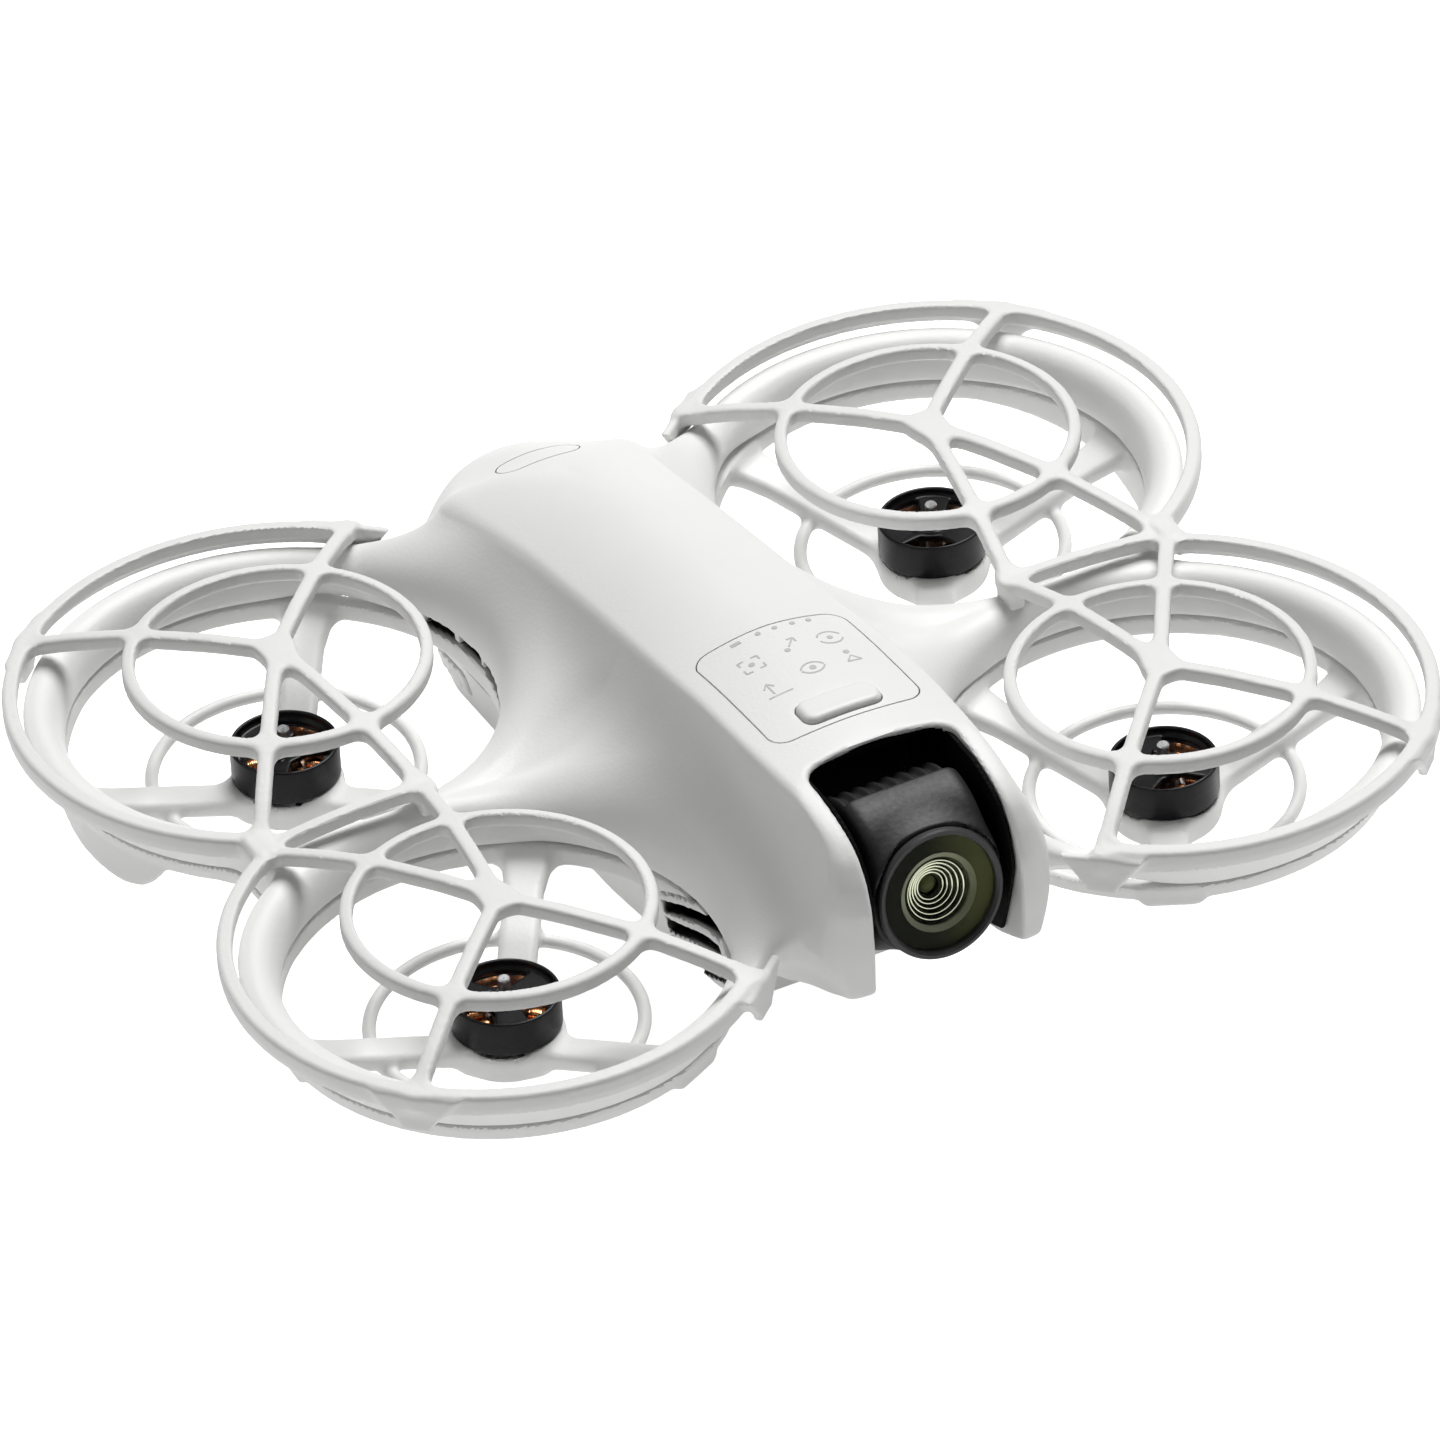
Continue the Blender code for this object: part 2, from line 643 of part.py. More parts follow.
def tilt_supports(mat):
    """Tilt motor on the left cheek and plain bush on the right one."""
    motor = ((0.0, 6.8), (1.2, 6.8), (1.2, 8.5), (6.0, 8.5), (6.0, 8.9), (0.0, 8.9))
    bush = ((0.0, -8.9), (3.0, -8.9), (3.0, -8.5), (1.2, -8.5), (1.2, -6.8), (0.0, -6.8))
    pivot = Matrix.Translation((0.0, PIVOT_Y, PIVOT_Z))
    place(crosswise("tilt_motor", motor, mat, 16), pivot)
    place(crosswise("tilt_bush", bush, mat, 16), pivot)


# -------------------------------------------------------------- motors

def motor(corner, mats):
    """Stator, winding, bearing, bell, magnets and shaft of one motor."""
    side, end = CORNERS[corner]
    centre = (side * ROTOR_X, end * ROTOR_Y, 0.0)
    teeth = []
    for tooth in range(9):
        middle = TURN * tooth / 9.0
        for radius, swing in ((3.0, -0.24), (4.5, -0.13), (4.5, -0.28), (5.3, -0.26),
                              (5.3, 0.26), (4.5, 0.28), (4.5, 0.13)):
            angle = middle + swing
            teeth.append((centre[0] + radius * math.cos(angle), centre[1] + radius * math.sin(angle)))
    core = prism(f"stator_core_{corner}", teeth, 14.4, 17.2, mats["steel"])
    hole = ((0.0, 10.0), (2.1, 10.0), (2.1, 20.0), (0.0, 20.0))
    cut(core, turned("hole", hole, mats["steel"], 12, centre))
    lobes = []
    for step in range(36):
        angle = TURN * step / 36.0
        radius = 4.5 + 0.5 * math.cos(9.0 * angle)
        lobes.append((centre[0] + radius * math.cos(angle), centre[1] + radius * math.sin(angle)))
    winding = prism(f"winding_{corner}", lobes, 17.5, 18.6, mats["copper"])
    hole = ((0.0, 10.0), (2.8, 10.0), (2.8, 20.0), (0.0, 20.0))
    cut(winding, turned("hole", hole, mats["copper"], 12, centre))
    bearing = ((1.0, 13.5), (1.0, 19.2), (1.8, 19.2), (1.8, 13.5))
    turned(f"bearing_{corner}", bearing, mats["steel"], 10, centre, hollow=True)
    bell = (
        (BELL_WALL_R, BELL_Z), (BELL_R, BELL_Z), (BELL_R, BELL_TOP_Z - 0.3),
        (BELL_R - 0.25, BELL_TOP_Z), (BELL_WALL_R, BELL_TOP_Z), (BELL_WALL_R - 0.1, BELL_PLATE_Z + 0.7),
        (1.7, BELL_PLATE_Z + 0.7), (1.4, BELL_PLATE_Z + 1.4), (0.9, BELL_PLATE_Z + 1.4),
        (0.9, BELL_PLATE_Z), (BELL_WALL_R, BELL_PLATE_Z),
    )
    rotor = turned(f"motor_bell_{corner}", bell, mats["black"], 18, centre, hollow=True)
    for window in range(3):
        outline = []
        for radius, steps in ((2.3, (-1, 1)), (5.8, (1, 0.33, -0.33, -1))):
            for step in steps:
                angle = math.radians(30.0 + 120.0 * window + 38.0 * step)
                point = (centre[0] + radius * math.cos(angle), centre[1] + radius * math.sin(angle))
                outline.append(point)
        cut(rotor, prism("window", outline, 19.0, 22.0, mats["black"]))
    set_origin(smooth(rotor), *centre)
    magnets = ((5.6, 16.8), (5.6, 19.4), (6.0, 19.4), (6.0, 16.8))
    ring = turned(f"magnet_ring_{corner}", magnets, mats["steel"], 18, centre, hollow=True)
    set_origin(ring, *centre)
    pin = ((0.0, 13.6), (SHAFT_R, 13.6), (SHAFT_R, SHAFT_TOP_Z), (0.0, SHAFT_TOP_Z))
    set_origin(turned(f"motor_shaft_{corner}", pin, mats["steel"], 10, centre), *centre)


# -------------------------------------------------------------- guards

def guard(name, side, mat):
    """Dome of bars over the front and the rear duct of one side."""
    solid = None
    for end in (1, -1):
        ring = []
        for step in range(24):
            x, y = around(side, end, GUARD_RING_R, 360.0 * step / 24.0)
            ring.append((x, y, GUARD_RING_Z, GUARD_DEPTH))
        part = bar("ring", ring, mat, 1.5, closed=True)
        button = ((0.0, 34.2), (3.0, 34.2), (3.0, GUARD_HUB_Z), (0.0, GUARD_HUB_Z))
        centre = (side * ROTOR_X, end * ROTOR_Y, 0.0)
        join(part, turned("hub", button, mat, 12, centre))
        route = (
            (1.5, GUARD_HUB_Z - 0.1, 1.5), (GUARD_RING_R, GUARD_RING_Z + 0.1, 2.1),
            (28.6, 31.5, 2.0), (GUARD_RIM_R, GUARD_RIM_Z - 0.1, 1.6),
        )
        for degrees in GUARD_SPOKES:
            bar_points = []
            for radius, top, depth in route:
                x, y = around(side, end, radius, degrees)
                bar_points.append((x, y, top, depth))
            join(part, bar("spoke", bar_points, mat))
        rim = []
        for step in range(17):
            degrees = GUARD_SPOKES[0] + (GUARD_RIM_END - GUARD_SPOKES[0]) * step / 16.0
            x, y = around(side, end, GUARD_RIM_R, degrees)
            rim.append((x, y, GUARD_RIM_Z, 2.6))
        join(part, bar("rim", rim, mat, 1.6))
        for degrees in GUARD_SPOKES:
            clip = []
            for swing in (-3.2, 3.2):
                x, y = around(side, end, GUARD_RIM_R, degrees + swing)
                clip.append((x, y, GUARD_RIM_Z - 1.0, GUARD_RIM_Z - 1.0 - GUARD_CLIP_Z))
            join(part, bar("clip", clip, mat, 1.4))
        hub_x, hub_y = side * ROTOR_X, end * ROTOR_Y
        for node_x, cross in ((GUARD_INNER_X, -100.0), (GUARD_OUTER_X, GUARD_RIM_END)):
            mid_x, mid_y = around(side, end, GUARD_RING_R, cross)
            points = ((hub_x, hub_y - end * 1.5, GUARD_HUB_Z - 0.1, 1.5),
                      (mid_x, mid_y, GUARD_RING_Z + 0.1, 2.1),
                      (side * node_x, end * 3.0, 31.2, 2.2),
                      (side * node_x, -end * 0.7, 30.9, 2.2))
            join(part, bar("strut", points, mat))
        if solid is None:
            solid = part
        else:
            join(solid, part)
    link = (
        (side * GUARD_INNER_X, 0.0, 30.8, GUARD_DEPTH), (side * GUARD_OUTER_X, 0.0, 30.8, GUARD_DEPTH),
    )
    join(solid, bar("link", link, mat))
    solid.name = name
    solid.data.name = name
    return smooth(solid)


# ------------------------------------------------------------- battery

def battery(case_mat, cell_mat, latch_mat):
    """Pack that slides out of the belly towards the tail."""
    tray = loft("battery_tray", [
        belly_section(BATTERY_FRONT_Y, 0.0, 9.4), belly_section(BATTERY_REAR_Y - 3.0, 0.0, 9.4),
        belly_section(BATTERY_REAR_Y, 2.6, 9.4),
    ], case_mat)
    wall = BATTERY_WALL
    cut(tray, loft("inside", [
        belly_section(BATTERY_FRONT_Y + wall, 0.0, 11.0, wall),
        belly_section(BATTERY_REAR_Y - 13.0, 0.0, 11.0, wall),
    ], case_mat))
    for side in (1, -1):
        low_x, high_x = sorted((side * 10.6, side * 20.0))
        cut(tray, block("latch_seat", (low_x, 47.0, 3.6), (high_x, 55.4, 8.0), case_mat))
    slope = (15.6 - 10.0) / BELLY_TOP_Z
    lid_half = 10.0 + slope * 9.7 - 0.3
    lid = ((-lid_half, BATTERY_FRONT_Y), (lid_half, BATTERY_FRONT_Y),
           (lid_half, BATTERY_REAR_Y - 1.0), (-lid_half, BATTERY_REAR_Y - 1.0))
    prism("battery_lid", lid, 9.7, BELLY_TOP_Z, case_mat)
    for name, side in (("left", 1), ("right", -1)):
        low_x, high_x = sorted((side * 0.3, side * 7.9))
        block(f"battery_cell_{name}", (low_x, -5.6, 1.4), (high_x, 43.0, 9.2), cell_mat)
        low_x, high_x = sorted((side * 12.0, side * 13.5))
        block(f"battery_latch_{name}", (low_x, 47.4, 4.0), (high_x, 55.0, 7.6), latch_mat)


# ------------------------------------------------------------ internals

def internals(mats):
    """Boards, antenna, port, contacts and the downward sensors."""
    block("main_board", (-12.6, -27.0, 15.0), (12.6, 40.0, 16.0), mats["board"])
    block("heat_spreader", (-11.0, -24.0, 17.4), (11.0, 6.0, 18.4), mats["steel"])
    block("satellite_antenna", (-8.0, 20.0, 24.0), (8.0, 36.0, 27.0), mats["ceramic"])
    block("charging_port", (-4.5, 48.0, 15.6), (4.5, 56.6, 18.6), mats["steel"])
    block("battery_contacts", (-6.0, -13.4, 5.8), (6.0, -9.8, 9.8), mats["black"])
    block("sensor_window", (-4.5, -13.9, 0.3), (4.5, -10.1, 1.1), mats["smoked"])
    block("downward_sensor", (-4.4, -13.8, 1.6), (4.4, -10.2, 5.2), mats["black"])


def screws(mat):
    """Screws that hold the two shells together at the webs."""
    head = ((0.0, 20.3), (1.7, 20.3), (1.7, 21.3), (0.8, 21.3), (0.8, 26.0), (0.0, 26.0))
    for name, side in (("left", 1), ("right", -1)):
        turned(f"inner_web_screw_{name}", head, mat, 10, (side * 30.0, 0.0, 0.0))
        turned(f"outer_web_screw_{name}", head, mat, 10, (side * 59.0, 0.0, 0.0))


def build():
    clear_scene()
    white = material("warm_white_plastic", (0.80, 0.80, 0.78), 0.5)
    black = material("black_plastic", (0.015, 0.015, 0.016), 0.45)
    ring_grey = material("lens_ring_grey", (0.05, 0.05, 0.055), 0.4)
    glass = material("olive_glass", (0.10, 0.12, 0.05), 0.05)
    mats = {
        "black": black,
        "steel": material("bright_steel", (0.6, 0.6, 0.6), 0.3, 1.0),
        "copper": material("copper_wire", (0.72, 0.32, 0.14), 0.3, 1.0),
        "board": material("circuit_board", (0.02, 0.10, 0.05), 0.5),
        "ceramic": material("antenna_ceramic", (0.6, 0.55, 0.45), 0.6),
        "smoked": material("smoked_window", (0.02, 0.02, 0.03), 0.1),
    }
    upper_shell(white)
    lower_frame(white)
    belly_pan(white)
    control_panel(white)
    mode_button(white)
    power_button_solid(white, "power_button", 0.0, 0.0, 2.2)
    light_guide(glass)
    bay_liner(black)
    camera_housing(black)
    lens_parts(ring_grey, glass, black, mats["board"])
    tilt_supports(mats["steel"])
    for corner in CORNERS:
        motor(corner, mats)
    guard("guard_left", 1, white)
    guard("guard_right", -1, white)
    battery(white, mats["ceramic"], white)
    internals(mats)
    screws(mats["steel"])
    to_metres()


build()
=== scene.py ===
"""Looks of a palm-size four-rotor drone with ducts, guards and a nose camera.

The soft moulded shapes are written as distance fields in millimetres: a
function gives each point's distance to the surface, and a net of quads is
laid on the zero level.  Turned and printed details are meshes of their own.
"""
import json
import math

import bmesh
import bpy
import numpy as np
from mathutils import Matrix, Vector


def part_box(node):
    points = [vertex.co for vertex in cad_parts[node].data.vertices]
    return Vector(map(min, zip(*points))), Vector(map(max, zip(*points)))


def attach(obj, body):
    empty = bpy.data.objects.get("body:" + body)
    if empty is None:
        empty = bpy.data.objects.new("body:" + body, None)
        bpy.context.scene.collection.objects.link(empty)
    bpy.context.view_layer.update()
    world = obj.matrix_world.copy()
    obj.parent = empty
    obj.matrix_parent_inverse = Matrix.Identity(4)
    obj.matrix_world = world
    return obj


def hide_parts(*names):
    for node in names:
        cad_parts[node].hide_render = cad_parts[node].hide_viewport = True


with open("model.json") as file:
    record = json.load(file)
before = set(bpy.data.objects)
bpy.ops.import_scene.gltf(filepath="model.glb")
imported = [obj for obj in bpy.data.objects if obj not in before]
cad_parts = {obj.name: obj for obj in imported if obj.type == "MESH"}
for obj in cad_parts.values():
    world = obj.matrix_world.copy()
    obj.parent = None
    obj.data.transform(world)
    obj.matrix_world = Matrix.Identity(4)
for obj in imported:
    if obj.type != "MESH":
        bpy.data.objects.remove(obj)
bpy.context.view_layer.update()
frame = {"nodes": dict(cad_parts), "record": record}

MM = 0.001
TURN = 2.0 * math.pi
COARSE = 1.0


def low(node):
    return np.array(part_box(node)[0]) / MM


def high(node):
    return np.array(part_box(node)[1]) / MM


def middle(node):
    return (low(node) + high(node)) / 2.0


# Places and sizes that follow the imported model, in millimetres
ROTOR_X, ROTOR_Y = middle("motor_shaft_rear_left")[:2]
SHAFT_TOP = high("motor_shaft_rear_left")[2]
BELL_LOW, BELL_HIGH = low("motor_bell_rear_left")[2], high("motor_bell_rear_left")[2]
BELL_R = (high("motor_bell_rear_left")[0] - low("motor_bell_rear_left")[0]) / 2.0
FRAME_TOP = high("lower_frame")[2]
FRAME_LOW = low("lower_frame")[2]
SEAM_Z = FRAME_TOP + 0.3

# Ducts
DUCT_R = 26.6
DUCT_FLOOR = 20.4
LIP_R = 30.2
LIP_OUT_R = 31.5
LIP_TOP = 29.0
MOUTH_Z = 23.8
MOUTH_RISE = 5.4
WEB_HALF_Y = 9.0
WEB_END_X = 62.5
SADDLE_Z = 27.9
SKIN = 1.5

# Camera bay, and the camera's pivot and rest tilt
BAY_HALF = 9.9
PIVOT_Y = -46.5
PIVOT_Z = 35.4
TILT = math.radians(12.0)
CAMERA_SWING = 15.4
LENS_DROP = 1.9
LENS_FRONT = 10.5

CORNERS = {
    "front_left": (1, -1),
    "front_right": (-1, -1),
    "rear_left": (1, 1),
    "rear_right": (-1, 1),
}


# --- distance fields ---

def smin(a, b, soft):
    """The nearer of two distances, with a fillet as wide as soft."""
    near = np.maximum(soft - np.abs(a - b), 0.0) / soft
    return np.minimum(a, b) - near * near * soft * 0.25


def smax(a, b, soft):
    return -smin(-a, -b, soft)


def unit(value):
    return np.clip(value, 0.0, 1.0)


def curve(points, blur=3.0):
    """A smooth lookup through points of (place, value)."""
    step = 0.25
    places, values = zip(*points)
    grid = np.arange(places[0] - 40.0, places[-1] + 40.0, step)
    line = np.interp(grid, places, values)
    reach = np.arange(-3.0 * blur, 3.0 * blur + step, step)
    weight = np.exp(-0.5 * (reach / blur) ** 2)
    line = np.convolve(np.pad(line, len(reach) // 2, mode="edge"), weight / weight.sum(), "valid")
    line = line[: len(grid)]
    return lambda place: np.interp(place, grid, line)


def rounded_box(a, b, half_a, half_b, radius):
    """Distance to a rounded rectangle across two coordinates."""
    qa = np.abs(a) - (half_a - radius)
    qb = np.abs(b) - (half_b - radius)
    outside = np.hypot(np.maximum(qa, 0.0), np.maximum(qb, 0.0))
    return outside + np.minimum(np.maximum(qa, qb), 0.0) - radius


def turned_plan(u, v, degrees):
    """Plan coordinates along and across a direction."""
    turn = math.radians(degrees)
    along = u * math.cos(turn) + v * math.sin(turn)
    return along, v * math.cos(turn) - u * math.sin(turn)


def surface_net(values, origin, step):
    """Vertices and quads on the zero level of a block of distances."""
    inside = values < 0.0
    size = np.array(values.shape) - 1
    corners = [(i, j, k) for i in (0, 1) for j in (0, 1) for k in (0, 1)]

    def part(block, corner):
        i, j, k = corner
        return block[i:i + size[0], j:j + size[1], k:k + size[2]]

    count = sum(part(inside, corner).astype(np.int8) for corner in corners)
    active = (count > 0) & (count < 8)
    cells = np.argwhere(active)
    index = np.full(active.shape, -1, np.int32)
    index[active] = np.arange(len(cells))
    at_corner = [part(values, corner)[active] for corner in corners]
    total = np.zeros((len(cells), 3))
    hits = np.zeros(len(cells))
    for a, first in enumerate(corners):
        for b in range(a + 1, 8):
            step_to = np.subtract(corners[b], first)
            if np.abs(step_to).sum() != 1:
                continue
            va, vb = at_corner[a], at_corner[b]
            cross = (va < 0.0) != (vb < 0.0)
            share = va[cross] / (va[cross] - vb[cross])
            total[cross] += np.array(first) + share[:, None] * step_to
            hits[cross] += 1
    points = origin + (cells + total / hits[:, None]) * step
    quads = []
    for axis in range(3):
        order = (axis, (axis + 1) % 3, (axis + 2) % 3)
        solid = np.transpose(inside, order)
        ids = np.transpose(index, order)
        near, far = solid[:-1, 1:-1, 1:-1], solid[1:, 1:-1, 1:-1]
        cross = near != far
        ring = np.stack([
            ids[:, :-1, :-1][cross], ids[:, 1:, :-1][cross],
            ids[:, 1:, 1:][cross], ids[:, :-1, 1:][cross],
        ], axis=1)
        backward = far[cross]
        ring[backward] = ring[backward][:, ::-1]
        quads.append(ring)
    return points, np.concatenate(quads)


def settle(points, field, step):
    """Move the net's points onto the field's zero level."""
    nudge = 0.02
    for _ in range(2):
        x, y, z = points.T
        distance = field(x, y, z)
        slope = np.stack([
            field(x + nudge, y, z) - distance,
            field(x, y + nudge, z) - distance,
            field(x, y, z + nudge) - distance,
        ], axis=1) / nudge
        length = np.maximum(np.linalg.norm(slope, axis=1), 0.3)
        move = np.clip(distance / length, -0.4 * step, 0.4 * step)
        points = points - slope / length[:, None] * move[:, None]
    return points


def net(field, lowest, highest, step, mirror=False):
    """Mesh data of a field in a box; mirror computes the +X half only."""
    step *= COARSE
    axes = []
    for axis in range(3):
        first = 0.0 if mirror and axis == 0 else lowest[axis]
        axes.append(np.arange(first, highest[axis] + step, step))
    x, y, z = np.meshgrid(*axes, indexing="ij", sparse=True)
    values = np.broadcast_to(field(x, y, z), [len(axis) for axis in axes]).astype(np.float32)
    if mirror:
        values = np.concatenate([values[:0:-1], values])
    origin = np.array([-axes[0][-1] if mirror else axes[0][0], axes[1][0], axes[2][0]])
    points, quads = surface_net(values, origin, step)
    return settle(points, field, step), quads


# --- meshes ---

def paint_inner_shade(obj, skin):
    """Paints shade on a body moulding: marks its points below the skin and by the vent slits, where no
    light gets in, to be painted near black.
    """
    coords = np.empty(len(obj.data.vertices) * 3, np.float32)
    obj.data.vertices.foreach_get("co", coords)
    x, y, z = (coords.reshape(-1, 3) / MM).T
    # Painted shade: points deeper than the skin, and by the vents, get the unlit colour
    inner_shade = unit((-skin(x, y, z) - 1.15) / 0.2)
    radius = rotor_radius(x, y)
    vents = np.minimum(louvres(x, y, z), rear_slot(x, y, z, radius))
    inner_shade = np.maximum(inner_shade, vents < 0.25)
    inner_shade = inner_shade * unit((radius - DUCT_R - 0.5) / 0.5) * (y > -38.0)
    mark = obj.data.attributes.new("inside", "FLOAT", "POINT")
    mark.data.foreach_set("value", inner_shade.astype(np.float32))


def linked(name, data):
    """A new object in the scene."""
    obj = bpy.data.objects.new(name, data)
    bpy.context.scene.collection.objects.link(obj)
    return obj


def placed(name, mesh, mat, smooth_angle):
    """A smooth-shaded object from mesh data."""
    mesh.materials.append(mat)
    mesh.shade_smooth()
    mesh.set_sharp_from_angle(angle=math.radians(smooth_angle))
    return linked(name, mesh)


def mesh_object(name, points, faces, mat, smooth_angle=40.0):
    """An object from points in millimetres and an array of quads."""
    mesh = bpy.data.meshes.new(name)
    mesh.vertices.add(len(points))
    mesh.vertices.foreach_set("co", (np.asarray(points, np.float32) * MM).ravel())
    mesh.loops.add(faces.size)
    mesh.loops.foreach_set("vertex_index", faces.astype(np.int32).ravel())
    mesh.polygons.add(len(faces))
    mesh.polygons.foreach_set("loop_start", np.arange(0, faces.size, faces.shape[1], dtype=np.int32))
    mesh.update(calc_edges=True)
    mesh.validate()
    return placed(name, mesh, mat, smooth_angle)


def moulding(name, field, lowest, highest, step, mat, mirror=False):
    """The object whose surface is a field's zero level."""
    return mesh_object(name, *net(field, lowest, highest, step, mirror), mat)


def flipped(points, faces):
    """The mirror image across the plane x = 0."""
    return points * np.array([-1.0, 1.0, 1.0]), faces[:, ::-1]


def bmesh_object(name, bm, mat, smooth_angle=35.0):
    """An object from a bmesh in millimetres."""
    bmesh.ops.recalc_face_normals(bm, faces=bm.faces)
    bmesh.ops.scale(bm, vec=(MM, MM, MM), verts=bm.verts)
    mesh = bpy.data.meshes.new(name)
    bm.to_mesh(mesh)
    bm.free()
    return placed(name, mesh, mat, smooth_angle)


def turned(name, profile, mat, segments=96, angle=30.0):
    """Spin a closed loop of (radius, z), or a line with both ends on the axis."""
    bm = bmesh.new()
    verts = [bm.verts.new((radius, 0.0, z)) for radius, z in profile]
    edges = [bm.edges.new(pair) for pair in zip(verts, verts[1:])]
    if min(radius for radius, _ in profile) > 0.0:
        edges.append(bm.edges.new((verts[-1], verts[0])))
    bmesh.ops.spin(bm, geom=verts + edges, cent=(0, 0, 0), axis=(0, 0, 1),
                   dvec=(0, 0, 0), angle=TURN, steps=segments, use_merge=True)
    bmesh.ops.remove_doubles(bm, verts=bm.verts, dist=0.0005)
    return bmesh_object(name, bm, mat, angle)


def boolean(target, tool, operation="DIFFERENCE"):
    """Cut the tool from the target, or keep what they share."""
    step = target.modifiers.new("step", "BOOLEAN")
    step.operation = operation
    step.solver = "MANIFOLD"
    step.object = tool
    graph = bpy.context.evaluated_depsgraph_get()
    result = bpy.data.meshes.new_from_object(target.evaluated_get(graph))
    target.modifiers.clear()
    target.data = result
    return target


def drop(*objects):
    for obj in objects:
        bpy.data.objects.remove(obj, do_unlink=True)


def ride(obj, body, slot, *nodes):
    """Seat a finished piece on its body and hide the nodes it stands for."""
    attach(obj, body)
    if nodes:
        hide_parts(*nodes)
    return obj


def prism(name, outline, bottom, top, mat):
    bm = bmesh.new()
    face = bm.faces.new([bm.verts.new((x, y, bottom)) for x, y in outline])
    moved = bmesh.ops.extrude_face_region(bm, geom=[face])["geom"]
    verts = [item for item in moved if isinstance(item, bmesh.types.BMVert)]
    bmesh.ops.translate(bm, vec=(0.0, 0.0, top - bottom), verts=verts)
    return bmesh_object(name, bm, mat)


def rounded_outline(x0, y0, x1, y1, radius, steps=8):
    """Rounded rectangle, counter-clockwise."""
    outline = []
    centres = ((x1 - radius, y1 - radius, 0.0), (x0 + radius, y1 - radius, 90.0),
               (x0 + radius, y0 + radius, 180.0), (x1 - radius, y0 + radius, 270.0))
    for cx, cy, start in centres:
        for step in range(steps + 1):
            angle = math.radians(start + 90.0 * step / steps)
            outline.append((cx + radius * math.cos(angle), cy + radius * math.sin(angle)))
    return outline


# --- materials ---

# Sockets of the colour mixing node, whose names repeat for other kinds of data
MIX_A, MIX_B, MIX_RESULT = 6, 7, 2
# Near black of the painted shade on inner faces that no light reaches
UNLIT = (0.008, 0.008, 0.008)


def tree(name):
    """A new material with its nodes, links and main shader."""
    mat = bpy.data.materials.new(name)
    mat.use_nodes = True
    nodes, links = mat.node_tree.nodes, mat.node_tree.links
    return mat, nodes, links, nodes["Principled BSDF"]


def add(nodes, kind, **values):
    """A new node with its inputs, or else its settings, filled in."""
    node = nodes.new(kind)
    for key, value in values.items():
        if key in node.inputs:
            node.inputs[key].default_value = value
        else:
            setattr(node, key, value)
    return node


def put(node, **values):
    """Fill in inputs, whose names are written with _ for a space."""
    for key, value in values.items():
        node.inputs[key.replace("_", " ")].default_value = value


def on_object(*textures):
    """Lay textures out in the object's own coordinates."""
    graph = textures[0].id_data
    place = add(graph.nodes, "ShaderNodeTexCoord")
    for texture in textures:
        graph.links.new(place.outputs["Object"], texture.inputs["Vector"])


def spread(source, lowest, highest, target):
    """Stretch a value of 0 to 1 over a range and feed it to an input."""
    graph = target.id_data
    stretch = add(graph.nodes, "ShaderNodeMapRange")
    put(stretch, To_Min=lowest, To_Max=highest)
    graph.links.new(source, stretch.inputs["Value"])
    graph.links.new(stretch.outputs["Result"], target)


def roughen(shader, height, strength, distance):
    """Bump the surface by a height."""
    graph = shader.id_data
    bump = add(graph.nodes, "ShaderNodeBump", Strength=strength, Distance=distance)
    graph.links.new(height, bump.inputs["Height"])
    graph.links.new(bump.outputs["Normal"], shader.inputs["Normal"])


def blended(share, first, second):
    """Mix two colours and return the mixing node."""
    graph = share.id_data
    mix = add(graph.nodes, "ShaderNodeMix", data_type="RGBA")
    mix.inputs[MIX_A].default_value = (*first, 1.0)
    mix.inputs[MIX_B].default_value = (*second, 1.0)
    graph.links.new(share, mix.inputs["Factor"])
    return mix


def moulded(name, colour, roughness, grain, strength, shift=0.03, specular=0.5):
    """Moulded or painted skin: grain in the bump, cloudy tint and sheen, and painted shade on points
    marked inside.
    """
    mat, nodes, links, shader = tree(name)
    clouds = add(nodes, "ShaderNodeTexNoise", Scale=55.0, Detail=4.0, Roughness=0.6)
    fine = add(nodes, "ShaderNodeTexNoise", Scale=grain, Detail=2.0, Roughness=0.5)
    specks = add(nodes, "ShaderNodeTexVoronoi", Scale=grain * 0.7)
    on_object(clouds, fine, specks)
    dull = [c * (1.0 - shift) for c in colour]
    pale = [min(c * (1.0 + shift), 1.0) for c in colour]
    tint = blended(clouds.outputs["Fac"], dull, pale)
    # Painted shade: points marked inside take the unlit colour
    inside = add(nodes, "ShaderNodeAttribute", attribute_name="inside")
    shade = blended(inside.outputs["Fac"], pale, UNLIT)
    links.new(tint.outputs[MIX_RESULT], shade.inputs[MIX_A])
    links.new(shade.outputs[MIX_RESULT], shader.inputs["Base Color"])
    rough = shader.inputs["Roughness"]
    spread(fine.outputs["Fac"], roughness - 0.07, roughness + 0.07, rough)
    both = add(nodes, "ShaderNodeMath", operation="ADD")
    links.new(fine.outputs["Fac"], both.inputs[0])
    links.new(specks.outputs["Distance"], both.inputs[1])
    roughen(shader, both.outputs["Value"], strength, 0.06 * MM)
    put(shader, Specular_IOR_Level=specular)
    return mat


def metal(name, colour, roughness, scale=4000.0, strength=0.15):
    """Bare or plated metal with fine machining marks."""
    mat, nodes, _, shader = tree(name)
    marks = add(nodes, "ShaderNodeTexNoise", Scale=scale, Detail=3.0)
    on_object(marks)
    put(shader, Base_Color=(*colour, 1.0), Metallic=1.0)
    rough = shader.inputs["Roughness"]
    spread(marks.outputs["Fac"], roughness - 0.06, roughness + 0.08, rough)
    roughen(shader, marks.outputs["Fac"], strength, 0.02 * MM)
    return mat


